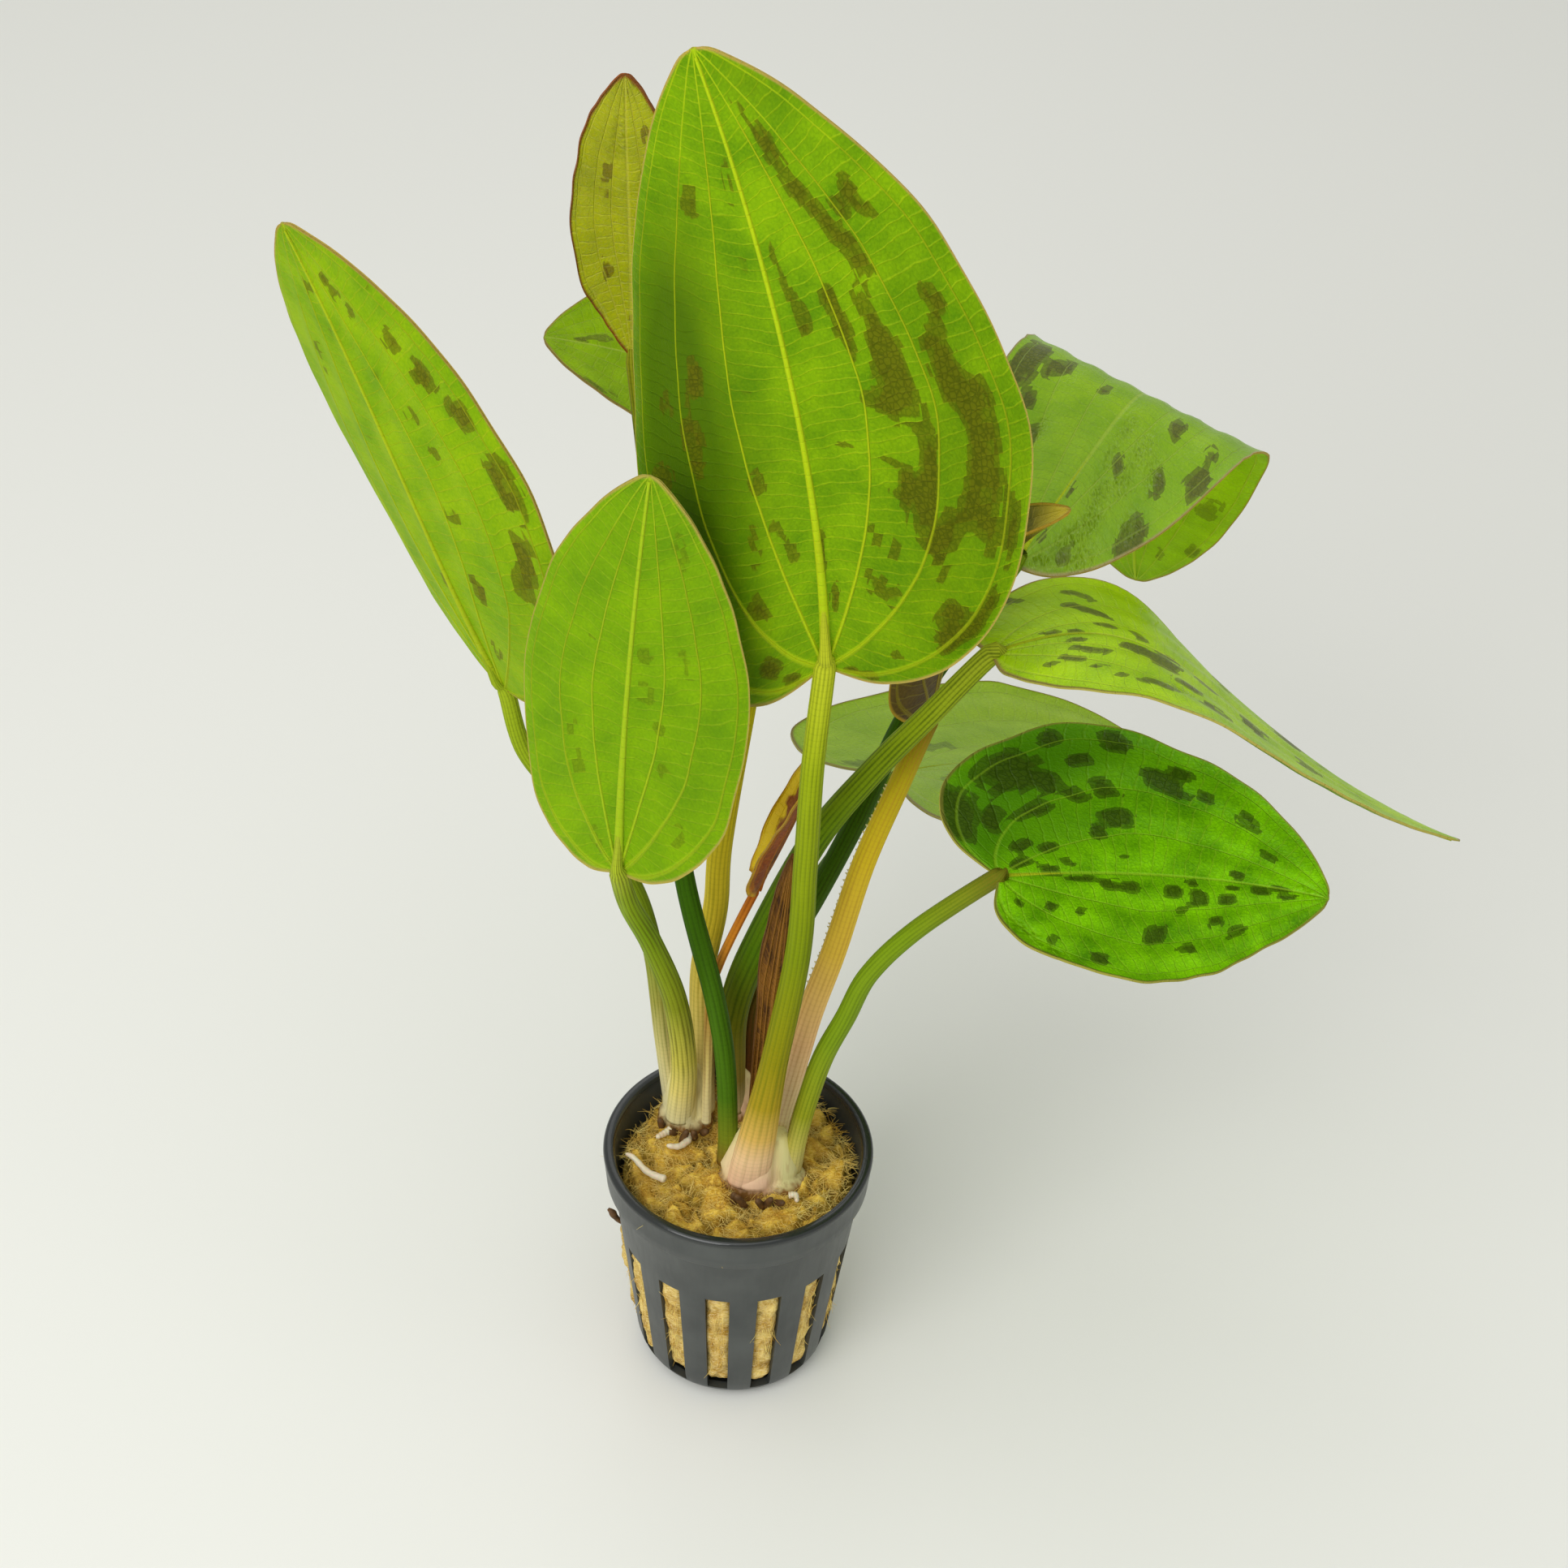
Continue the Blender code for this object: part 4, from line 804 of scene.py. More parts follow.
# Low right leaf
# A round, dark, well-marked leaf in front on the right, which holds its upper face to the
# camera. Its margin is a little wavy.
LOW_RIGHT = dict(
    joint=(40.0, -28.7, 143.8), length=56, width=55, heading=27, rise=-15, roll=7,
    arch=(-14, -7), sway=-41, twist=7, cup=(38, 17), lobe=0.12, widest=0.28, shoulder=0.23)
LOW_RIGHT_STALK = dict(
    base=(4.0, 3.6), facing=-30, middle=3.8, top=3.0,
    route=[(10.0, -3.4), (11.2, -4.9, 62), (14.2, -8.0, 81), (17.9, -12.0, 96), (21.3, -16.0, 110),
           (28.4, -21.0, 125)])
LOW_RIGHT_PATCHES = (
    (20, -92, 7, 13, 75), (36, -84, 5, 12, 62), (45, -93, 1.5, 5, 60), (57, -70, 3, 8, 75),
    (52, -90, 2, 7, 60), (46, -77, 2, 4, 60), (40, -70, 2.5, 7, 62), (42, -60, 2, 5, 55),
    (47, -60, 2, 6, 60), (32, -60, 5, 5, 62), (25, -70, 4, 6, 60), (46, -40, 3, 6, 70),
    (40, -33, 2, 5, 60), (64, -72, 1.5, 5, 52), (60, -82, 2, 5, 52), (73, -70, 3, 8, 42),
    (25, -33, 3, 5, 60), (20, -45, 4, 6, 62), (18, -5, 3, 10, 62), (25, -14, 2, 5, 60),
    (42, -13, 2, 3, 50), (12, -30, 5, 10, 60), (27, 7, 4, 4, 60), (35, 12, 3, 5, 68),
    (41, 12, 3, 5, 60), (54, 14, 3, 6, 72), (62, 20, 3, 7, 72), (70, 22, 3, 6, 74),
    (72, 8, 2, 4, 60), (80, 10, 3, 7, 68), (86, 2, 3, 8, 60), (88, 18, 3, 8, 56), (73, -8, 2, 5, 60),
    (50, 52, 3, 8, 60), (57, 30, 2, 4, 50), (72, 62, 3, 8, 52), (22, 52, 2, 6, 56),
    (30, 45, 1.5, 5, 56), (28, 85, 1.5, 6, 52), (39, 85, 2, 6, 56), (14, 70, 2, 6, 56),
    (58, 70, 3, 6, 50), (80, -45, 3, 8, 40), (60, 6, 2, 4, 50), (66, 45, 2, 6, 50))

# A satin upper face, deep green between pale veins, with painted shade over broad parts of its left half and
# a wet margin
grow_leaf(
    "low_right", LOW_RIGHT, LOW_RIGHT_STALK, LOW_RIGHT_PATCHES,
    upper=dict(colours="84CC06 4A8404 90B824 33420A 8C8A38", rough=0.38, shine=0.12, rungs=0.32,
               wet=True, mottle=0.3, dusk="447804"),
    under=dict(colours="80A30A 62880A A9B61C 5E5C10 98943C"),
    stops=((0.0, "E0D490"), (0.08, "CCC45C"), (0.17, "969C22"), (0.4, "7C9818"), (0.75, "7A9612"),
           (0.93, "7C8618"), (1.0, "6E6C16")),
    stripe="54700E", stripes=0.45,
    wet=((20, 90, 5, 6, 90), (30, 93, 4, 5, 70), (93, -10, 3, 30, 50)),
    dusk=((20, -75, 22, 35, 85), (45, -85, 15, 25, 70), (30, -40, 12, 20, 40)), phase=2.2,
    ruffle=0.45)

# Back right leaf
# A broad leaf low at the back, whose upper face lies almost level and mirrors the pale room.
BACK_RIGHT = dict(
    joint=(27.2, 48.0, 102.0), length=72, width=63, heading=39, rise=-14, roll=-21,
    arch=(11.5, 2), sway=-25, twist=13, cup=(27, -32), lobe=0.14, widest=0.46, shoulder=0.06)
BACK_RIGHT_STALK = dict(
    base=(3.6, 3.4), facing=110, middle=3.4, top=2.8,
    route=[(-2.6, 18.9), (-0.8, 20.0, 60), (2.0, 22.0, 67), (6.6, 26.5, 78), (12.2, 33.0, 87),
           (19.0, 40.5, 94)])
BACK_RIGHT_PATCHES = (
    (12, -80, 4, 12, 40), (30, -40, 4, 10, 34), (40, 40, 5, 10, 34), (20, 50, 4, 10, 32),
    (60, 10, 5, 12, 44), (70, -50, 5, 12, 44))

# A smooth, waxy upper face, pale under the room's light, and a brown stalk
grow_leaf(
    "back_right", BACK_RIGHT, BACK_RIGHT_STALK, BACK_RIGHT_PATCHES,
    upper=dict(colours="B0D22E 92B81A BCD060 56602A A08A48", rough=0.38, shine=0.25, rungs=0.1,
               cover=0.6),
    under=dict(colours="80A30A 62880A A9B61C 5E5C10 A8A25C"),
    stops=((0.0, "7A4E32"), (0.2, "6A4A20"), (0.4, "5E6416"), (0.7, "5E7A1A"), (1.0, "7A9420")),
    stripe="3E3A0E", stripes=0.5, phase=0.2, ruffle=0.3)

# Rolled leaf
# The newest leaf is still rolled into a tube, dark brown with olive lines and a yellow tip. Its
# thick orange stalk leans to the right behind the tall leaf's, with pale teeth on its edge.
ROLLED = dict(
    joint=(29.8, 16.5, 139.5), length=51, width=24, heading=13, rise=85, roll=-20,
    arch=(8, 42), sway=0, twist=0, cup=(118, 118), lobe=0.0, widest=0.34, shoulder=0.22)
ROLLED_STALK = dict(
    base=(4.2, 4.0), facing=0, middle=4.8, top=3.6,
    route=[(6.2, -0.6), (7.4, -0.6, 60), (8.9, 0.2, 68), (11.8, 2.6, 82), (15.7, 6.0, 95),
           (20.0, 10.0, 112), (25.1, 14.0, 126)])
TEETH = 34
TEETH_FROM = 0.42
TEETH_TO = 0.86
TOOTH_HEIGHT = 0.42
TOOTH_RADII = (0.30, 0.24, 0.05)
TOOTH_SIDES = 6
LINE_OF_SIGHT = (0.0, 0.77, -0.63)

# Young tissue is thin, satin and dark brown with olive lines, and its stalk is cream and orange
grow_leaf(
    "rolled", ROLLED, ROLLED_STALK, (),
    upper=dict(colours="8C8012 5C5C0C B0A030 4A3008 C09A20", shine=0.4, tip="DCC61C"),
    under=dict(colours="6A5410 3E2C06 A09018 3A2406 C09A20", shine=0.3, rungs=0.3, clouds=0.5,
               tip="DCC61C"),
    stops=((0.0, "FBE6C0"), (0.12, "FDEAB8"), (0.3, "FACA90"), (0.5, "F4CC4C"), (0.7, "ECCC2C"),
           (0.88, "C8B41C"), (1.0, "8A7A16")),
    stripe="C08030", stripes=0.35, slot="young_leaf", rib=(0.5, 0.16), lateral=(0.34, 0.12),
    phase=1.1, ruffle=0.15, rows=80, columns=64)

# Pale teeth stand on the stalk's left edge, where its winged margin has begun to fray. Each
# is a short cone of six sides on three rings.
path, run, share, wide, _ = stalk_path(ROLLED_STALK, ROLLED)
points, faces, marks, heights = [], [], [], []
for k in range(TEETH):
    at = np.searchsorted(share, TEETH_FROM + (TEETH_TO - TEETH_FROM) * k / TEETH)
    forward = (path[at + 1] - path[at - 1]) / np.linalg.norm(path[at + 1] - path[at - 1])
    side = np.cross(forward, LINE_OF_SIGHT)
    side *= -np.sign(side[0]) / np.linalg.norm(side)
    height = wide[at] / 2 + TOOTH_HEIGHT * (0.7 + 0.3 * math.sin(7.1 * k))
    centres = [path[at] + side * (wide[at] / 2 - 0.25), path[at] + side * (wide[at] / 2),
               path[at] + side * height + forward * 0.1]
    add_tube(points, faces, centres, TOOTH_RADII, TOOTH_SIDES)
    for level_share in (0.0, 0.5, 1.0):
        for a in np.linspace(0, 2 * math.pi, TOOTH_SIDES, endpoint=False):
            marks.append((2 * math.sin(a), 2 * math.cos(a), run[at]))
            heights.append(level_share)
# Frayed, dry tissue of the margin is pale and dull
tooth_skin = stalk_skin("frayed_stalk_margin", ((0.0, "F4EFC8"), (1.0, "E8D890")), "D8C880", rough=0.6)
add_piece("stalk_teeth", points, faces, [tooth_skin], "stem", stalk=marks, share=heights)

# Dead leaf and dead strip
# A small dead leaf has dried red-brown and curled along its length on a thin orange stalk, and
# a dead brown strip of leaf base still clings behind the tall leaf's stalk.
DEAD = dict(
    joint=(1.2, 4.5, 109.0), length=36, width=11, heading=-7, rise=68, roll=0,
    arch=(-4, -4), sway=6, twist=20, cup=(80, 80), lobe=0.0, widest=0.38, shoulder=0.20)
DEAD_STALK = dict(
    base=(1.8, 1.8), facing=0, middle=1.8, top=1.6,
    route=[(-6.3, 7.6), (-6.2, 7.2, 79), (-4.6, 6.6, 90)])
DRY_STRIP = dict(
    joint=(2.6, -3.1, 49.1), length=86, width=6.6, heading=-66, rise=82, roll=-24,
    arch=(0, 0), sway=0, twist=0, cup=(-15, -15), lobe=0.0, widest=0.66, shoulder=1.1)

# Dried tissue is stiff, thin and red-brown with a faint shine, and one edge is still bright yellow
dry_skins = [
    leaf_skin(name, DEAD, colours, underside, rough=0.5, shine=0.3, rungs=0.2, clouds=0.55, mottle=0.5,
              tip="3E1C08", edge="F0CC10")
    for name, colours, underside in (
        ("dry_leaf_upper", "A45A10 6E3408 8A4A0C 4A2006 C89A1C", False),
        ("dry_leaf_underside", "9A4E0E 6A2E08 B4741A 4A2006 C89A1C", True))]
add_blade("dry_blade", DEAD, dry_skins, "dead_leaf", ["leaf_dead"], rib=(0.3, 0.12),
          lateral=(0.14, 0.06), ruffle=0.75, phase=2.4, rows=90, columns=44)
# Its stalk has dried from cream at the foot to orange, with shrunken flutes
dry_stalk = stalk_skin(
    "dry_stalk_skin",
    ((0.0, "F0E4AC"), (0.28, "E8D27C"), (0.5, "D8A242"), (0.8, "DC8C28"), (1.0, "B8641C")),
    "7A3A10", flutes=6, stripes=0.5)
add_stalk("dry_stalk", DEAD_STALK, DEAD, dry_stalk, "dead_leaf", ["stem_dead"], flutes=6, sides=24)
# The strip is rotting leaf base, matt and mottled in dark browns
strip_skin = leaf_skin("dry_strip", DRY_STRIP, "8A5A16 50300F 9A6A22 3A1E0A 6E4616", underside=True,
                       rough=0.6, shine=0.2, rungs=0.1, clouds=0.6, mottle=0.6)
add_blade("dry_strip", DRY_STRIP, [strip_skin, strip_skin], "dead_leaf", ["sheath_dead"], rib=(0.2, 0.1),
          lateral=(0.12, 0.05), ruffle=0.5, phase=1.3, rows=120, columns=24)

# Rootstocks
# Three short rootstocks sit in the wool. Above each one the fleshy feet of its stalks grow
# together into a cream and pinkish sleeve, with brown stumps round it where old roots broke off.
# A rootstock has its centre, half its width and depth, its stalks and the top of its sleeve.
ROOTSTOCK_TOP = 48.4
ROOTSTOCK_DEPTH = 7.4
SLEEVE_FOOT = 48.5
RING_HEIGHTS = (41.0, 42.2, 44.0, 46.0, 47.4, 48.2, 48.9, 49.8, 51.0, 52.5, 54.0, 55.5)
ROOTSTOCK_SIDES = 64
ROOTSTOCKS = {
    "front": ((4.8, -4.2), (8.6, 5.4), (TALL_STALK, LOW_RIGHT_STALK, ROLLED_STALK, YOUNG_STALK), 60.0),
    "left": ((-10.3, 10.9), (5.4, 5.0), (FRONT_LEFT_STALK, FAR_LEFT_STALK, BACK_LEFT_STALK), 62.0),
    "back": ((0.2, 15.4), (5.2, 6.0), (FOLDED_STALK, DROOPING_STALK, BACK_RIGHT_STALK), 57.0),
}
STUMPS = (
    (-0.4, -10.6, 47.2), (1.2, -11.4, 47.4), (4.6, -11.7, 47.6), (5.7, -11.4, 47.4), (7.6, -10.8, 47.2),
    (-8.4, 4.9, 47.6), (-12.4, 5.6, 47.6), (-14.6, 7.2, 47.6), (-6.6, 5.9, 47.6), (-10.4, 4.4, 47.4))
STUMP_RADII = (0.68, 0.7, 0.66, 0.62, 0.35)
STUMP_SIDES = 9
TIP_POINTS = 14

# Fleshy, moist tissue has a satin shine and brown streaks along the stalks. The front rootstock
# is pinkish and turns greenish on its right, the left one is yellow-cream, and all are brown
# where they meet the wool.
root_flesh, add, shader = new_material("fleshy_rootstock")
spot = add("TexCoord").outputs["Object"]
height = add("Math", add("SeparateXYZ", spot).outputs["Z"], 1 / MM, operation="MULTIPLY")
# Streaks are about 1 mm wide and 8 mm long
drawn = add("Mapping", Vector=spot, Scale=(1.1 / MM, 1.1 / MM, 0.13 / MM))
streak = add("TexNoise", Vector=drawn, Scale=1.0, Detail=3.0).outputs[0]
height = add("Math", streak, 3.0, height, operation="MULTIPLY_ADD")
low = add("MapRange", height, 48.9, 50.6)
sideways = add("SeparateXYZ", spot).outputs["X"]
pink = add("MapRange", sideways, -4 * MM, 0.0)
flesh = add("MixRGB", pink, linear("F0E6AC"), linear("F8D0AA"))
green = add("MapRange", sideways, 5.5 * MM, 8.5 * MM)
flesh = add("MixRGB", green, flesh, linear("E4DE9C"))
colour = add("MixRGB", low, linear("8A6230"), flesh)
pale = add("MapRange", height, 52.5, 60.0)
colour = add("MixRGB", pale, colour, linear("E8DE96"))
dark = add("MapRange", streak, 0.55, 0.72, None, 0.35)
colour = add("MixRGB", dark, colour, linear("A8743A"))
bump = add("Bump", Strength=0.6, Distance=0.2 * MM, Height=streak)
wire(shader, {"Base Color": colour, "Normal": bump, "Roughness": 0.45, "Specular IOR Level": 0.3})

# Torn and rotted root ends are dull and dark brown, with a coarse grain of about 1 mm
stump_skin, add, shader = new_material("broken_root_stump")
grain = add("TexNoise", Vector=add("TexCoord").outputs["Object"], Scale=0.9 / MM, Detail=2.0).outputs[0]
colour = add("MixRGB", grain, linear("2E1E0C"), linear("7A5426"))
wire(shader, {"Base Color": colour, "Roughness": 0.7})

for name, (centre, half, stalks, top) in ROOTSTOCKS.items():
    rings, heights = [], (*RING_HEIGHTS, top - 1.2, top)
    for z in heights:
        level_share = min(1.0, (z - (ROOTSTOCK_TOP - ROOTSTOCK_DEPTH)) / ROOTSTOCK_DEPTH)
        body = np.interp(level_share, (0.0, 0.24, 0.62, 0.9, 1.0), (0.55, 0.88, 1.0, 0.95, 0.86))
        body *= min(1.0, max(0.0, 1 - (z - SLEEVE_FOOT) / 2.6))
        narrow = np.interp(z, (47.0, 49.0, 52.0, top - 1.2, top), (0.0, 0.94, 0.82, 0.52, 0.2))
        feet = []
        for stalk in stalks:
            (x0, y0), (x1, y1, z1) = stalk["route"][:2]
            share = np.clip((z - STALK_FOOT) / (z1 - STALK_FOOT), 0, 1)
            feet.append((x0 + (x1 - x0) * share, y0 + (y1 - y0) * share, sum(stalk["base"]) / 4))
        for a in np.linspace(0, 2 * math.pi, ROOTSTOCK_SIDES, endpoint=False):
            way = (math.cos(a), math.sin(a))
            hull = narrow * max((x - centre[0]) * way[0] + (y - centre[1]) * way[1] + r for x, y, r in feet)
            ellipse = body / math.hypot(way[0] / half[0], way[1] / half[1])
            lump = 0.18 * noise.noise(Vector((way[0] * 2.5 + centre[0], way[1] * 2.5, z * 0.25)))
            lump += 0.10 * noise.noise(Vector((way[0] * 7, way[1] * 7 + centre[1], z * 0.6)))
            reach = max(hull, ellipse, 0.6) + lump
            rings.append((centre[0] + way[0] * reach, centre[1] + way[1] * reach, z))
    faces = ring_faces(len(heights), ROOTSTOCK_SIDES)
    add_piece("rootstock_" + name, rings, faces, [root_flesh], "crown", ["crown_" + name])

# Each stump leans its own way, and the tip of one dead root stands out of a slot on the left
points, faces = [], []
for k, (x, y, z) in enumerate(STUMPS):
    lean = np.array((math.sin(5 * k) * 0.5, -0.45 + 0.2 * math.cos(7 * k), 1.0 + 0.5 * math.sin(3 * k)))
    tall = 2.3 if y < 0 else 1.5
    centres = [np.array((x, y, z)) + lean * t * tall for t in (-0.5, 0, 0.4, 0.8, 1.1)]
    add_tube(points, faces, centres, STUMP_RADII, STUMP_SIDES)
dead_tip = smooth_curve([(-19.6, -2.2, 30.0), (-21.9, -2.4, 31.6), (-22.8, -2.6, 33.0),
                         (-23.2, -2.8, 34.1), (-24.0, -2.5, 34.7)], TIP_POINTS)
radii = np.interp(np.linspace(0, 1, TIP_POINTS), (0, 0.6, 0.8, 1), (0.5, 0.55, 0.8, 0.3))
add_tube(points, faces, dead_tip, radii, STUMP_SIDES)
add_piece("root_stumps", points, faces, [stump_skin], "root")

# Roots
# Fresh cream-white roots lie on the wool in front of the rootstocks, smooth and slightly
# see-through, and they taper to blunt tips. A root has its diameter and its route over the wool.
WOOL_LEVEL = 47.0
ROOT_LIFT = 0.45
ROOT_POINTS = 40
ROOT_SIDES = 16
ROOTS = {
    "long": (1.5, [(-13.1, -7.0), (-16.5, -5.1), (-19.2, -2.6), (-20.8, -1.8)]),
    "left_outer": (1.5, [(-12.9, 5.6), (-13.8, 4.7), (-15.4, 3.2)]),
    "left_inner": (1.6, [(-9.5, 5.2), (-9.6, 3.8), (-11.1, 2.2), (-13.4, 1.8)]),
    "hook": (1.3, [(9.6, -10.0), (10.9, -9.9), (11.2, -11.6)]),
}


def wool_height(x, y):
    """The top of the wool before its tufts: soft lumps, and a raised clump at the back rim."""
    lumps = 0.7 * math.sin(x / 4.1 + 0.8) * math.cos(y / 4.6 - 0.3)
    lumps += 0.4 * math.sin(x / 3.0 - y / 3.4 + 1.7)
    return WOOL_LEVEL + lumps + 4.5 * math.exp(-((x - 7.5) ** 2 + (y - 19.0) ** 2) / 7.0)


# Young root skin is smooth and moist. Light spreads 0.6 mm in it, so it looks milky, with soft
# tan clouds about 1.4 mm across.
fresh_root, add, shader = new_material("fresh_white_root")
grain = add("TexNoise", Vector=add("TexCoord").outputs["Object"], Scale=0.7 / MM, Detail=3.0).outputs[0]
colour = add("MixRGB", grain, linear("F0E8D2"), linear("CDB98E"))
bump = add("Bump", Strength=0.4, Distance=0.1 * MM, Height=grain)
wire(shader, {"Base Color": colour, "Normal": bump, "Roughness": 0.35, "Subsurface Weight": 0.3,
              "Subsurface Scale": 0.6 * MM})

for name, (diameter, route) in ROOTS.items():
    route = [(x, y, wool_height(x, y) + diameter / 2 + ROOT_LIFT) for x, y in route]
    t = np.linspace(0, 1, ROOT_POINTS)
    radii = diameter / 2 * (1 - 0.4 * t) * (1 + 0.05 * np.sin(t * 31))
    radii *= np.interp(t, (0, 0.03, 0.9, 0.97, 1.0), (0.7, 1, 1, 0.75, 0.35))
    points, faces = tube_skin(smooth_curve(route, ROOT_POINTS), radii, ROOT_SIDES)
    add_piece("rootlet_" + name, points, faces, [fresh_root], "root", ["root_" + name])

# Mineral wool
# The pot is packed with mineral wool, spun rock fibre that has browned and soaked. Its torn top
# is all lumps and tufts with cracks between them, darkened with painted shade, and it bulges out through the
# slots.
# The pot's inner wall and the wool inside it have their radii at four heights.
WALL_HEIGHTS = (1.9, 3.6, 7.0, 43.5)
WALL_RADII = (12.3, 15.8, 17.7, 22.1)
WOOL_RADII = (12.3, 15.8, 17.4, 21.8)
WOOL_FOOT = 1.9
WOOL_SHOULDER = 44.0
WOOL_ROWS = 64
WOOL_RINGS = 72
WOOL_SIDES = 252
BULGE_HEIGHTS = (3.0, 4.6, 30.5, 33.0)
BULGE_HALF_WIDTH = 2.7
FULLEST_SIDE = 186.0
POT_SLOTS = 14
SLOT_TURN = 6.0
WOOL_SEED = 7
FIBRES = 7000
FIBRE_REACH = 21.0
FIBRE_SIDES = 3
FIBRE_TAPER = np.array((1, 1, 0.9, 0.7, 0.35))
SLOT_FIBRE_EVERY = 10
LONG_FIBRE_EVERY = 24

# Soaked mineral wool is dull and matted. Clumps of tan and straw are 3.6 mm across, and pale
# strands run through them, drawn coarser than the real fibres of a hundredth of a millimetre.
wool_skin, add, shader = new_material("wet_mineral_wool")
spot = add("Mapping", Vector=add("TexCoord").outputs["Object"], Scale=(1 / MM,) * 3)
crack = add("Attribute", attribute_name="crack").outputs["Fac"]
clump = add("TexNoise", Vector=spot, Scale=0.28, Detail=4.0, Roughness=0.65).outputs[0]
bend = add("TexNoise", Vector=spot, Scale=0.5, Detail=2.0).outputs["Color"]
warped = add("MixRGB", 0.12, spot, bend, blend_type="ADD")
strand = add("Mapping", Vector=warped, Scale=(0.9, 3.8, 3.8), Rotation=(0.3, 0.5, 0.8))
strand = add("TexNoise", Vector=strand, Scale=1.0, Detail=3.0, Roughness=0.6).outputs[0]
shade = add("MapRange", clump, 0.38, 0.62)
colour = add("MixRGB", shade, linear("B88E34"), linear("F6D87C"))
fibre = add("MapRange", strand, 0.46, 0.70, None, 0.65)
colour = add("MixRGB", fibre, colour, linear("FFEBB4"))
dark = add("MapRange", strand, 0.34, 0.48, 0.38, 0.0)
colour = add("MixRGB", dark, colour, linear("A67A20"))
lit = add("MapRange", add("SeparateXYZ", spot).outputs["Z"], 38.0, 44.0)
colour = add("MixRGB", lit, colour, linear("FFF6AE"), blend_type="MULTIPLY")
# Painted shade: cracks between the tufts, the edge at the rim and the side behind the wall darken
colour = add("MixRGB", crack, colour, linear("5E4812"))
relief = add("Math", strand, 0.6, clump, operation="MULTIPLY_ADD")
bump = add("Bump", Strength=0.9, Distance=0.6 * MM, Height=relief)
wire(shader, {"Base Color": colour, "Normal": bump, "Roughness": 0.85, "Specular IOR Level": 0.2})


def tufted_height(x, y):
    """The torn top of the wool, and how deep in a crack a place lies, from 0 to 1, which also sets painted
    shade there.
    """
    place = Vector((x, y, 0.0))
    cells = Vector((x / 7.6, y / 6.4, 0.4)) + 0.45 * noise.noise_vector(place / 3.0)
    nearest, second = noise.voronoi(cells)[0][:2]
    crack = max(0.0, 1 - (second - nearest) / 0.34) ** 1.6
    rise = 2.4 * noise.noise(place / 5.5) + 0.7 * noise.noise(place / 2.1) + 0.3 * noise.noise(place / 0.7)
    rise -= 2.0 * crack
    # Near a root the tufts are pressed flat, so that it lies free
    calm = 1.0
    for _, route in ROOTS.values():
        for (x0, y0), (x1, y1) in zip(route[:-1], route[1:]):
            t = ((x - x0) * (x1 - x0) + (y - y0) * (y1 - y0)) / ((x1 - x0) ** 2 + (y1 - y0) ** 2)
            t = min(max(t, 0), 1)
            gap = math.hypot(x - x0 - t * (x1 - x0), y - y0 - t * (y1 - y0))
            calm = min(calm, max(0.0, (gap - 0.9) / 2.0))
    loose = 0.4 + 0.6 * calm
    return wool_height(x, y) + rise * (calm if rise > 0 else loose), 0.75 * crack * loose


def slot_bearing(slot):
    """The direction in which a slot of the pot faces, counted from a rib beside its front."""
    return math.radians(SLOT_TURN - 90) + 2 * math.pi * (slot + 0.5) / POT_SLOTS


# The wool's side follows the wall and bulges into the slots. Blender seeds its vector noise with
# the clock, so a seed is set to give the same cracks each time.
noise.seed_set(WOOL_SEED)
points, cracks = [], []
turn = np.linspace(0, 2 * math.pi, WOOL_SIDES, endpoint=False)
slot_angle = 2 * math.pi / POT_SLOTS
for z in np.linspace(WOOL_FOOT, WOOL_SHOULDER, WOOL_ROWS):
    inside = np.interp(z, WALL_HEIGHTS, WOOL_RADII)
    for a in turn:
        facing = (a - slot_bearing(0)) / slot_angle
        off = abs(facing - round(facing)) * slot_angle * inside
        open_share = max(0.0, 1 - (off / BULGE_HALF_WIDTH) ** 4) * np.interp(z, BULGE_HEIGHTS, (0, 1, 1, 0))
        place = Vector((math.cos(a) * 20, math.sin(a) * 20, z))
        rough = 0.9 * noise.noise(place / 3.3) + 0.45 * noise.noise(place / 1.2)
        bulge = 1.05 + 0.9 * rough + 0.9 * max(0.0, math.cos(a - math.radians(FULLEST_SIDE))) ** 6
        reach = inside - 0.25 + open_share * bulge + (1 - open_share) * min(0.1, rough * 0.4 - 0.2)
        points.append((reach * math.cos(a), reach * math.sin(a), z))
        # Painted shade darkens sunken places and the side behind the wall
        cracks.append(max(0.0, -rough - 0.35) * 1.2 + (1 - open_share) * 0.5 * (z < BULGE_HEIGHTS[-1]))

# Its top has shrunk a little from the rim, most on two opposite sides, and its edge droops and is darkened
# with painted shade
for radius in np.linspace(WOOL_RADII[-1], 0.6, WOOL_RINGS):
    share, inset = radius / WOOL_RADII[-1], WOOL_RADII[-1] - radius
    for a in turn:
        ragged = noise.noise(Vector((math.cos(a) * 3, math.sin(a) * 3, 7)))
        pulled = radius - (0.7 + 0.5 * ragged) * share ** 8
        pulled -= 0.9 * share ** 6 * max(0.0, math.cos(2 * a - 0.3))
        x, y = pulled * math.cos(a), pulled * math.sin(a)
        z, crack = tufted_height(x, y)
        points.append((x, y, z - 2.6 * max(0.0, 1 - inset / 1.4) ** 2))
        cracks.append(min(1.0, crack + 0.6 * max(0.0, 1 - inset / 0.8)))
add_piece("wool_plug", points, ring_faces(WOOL_ROWS + WOOL_RINGS, WOOL_SIDES), [wool_skin], "wool", ["wool"],
          crack=np.clip(cracks, 0, 1))

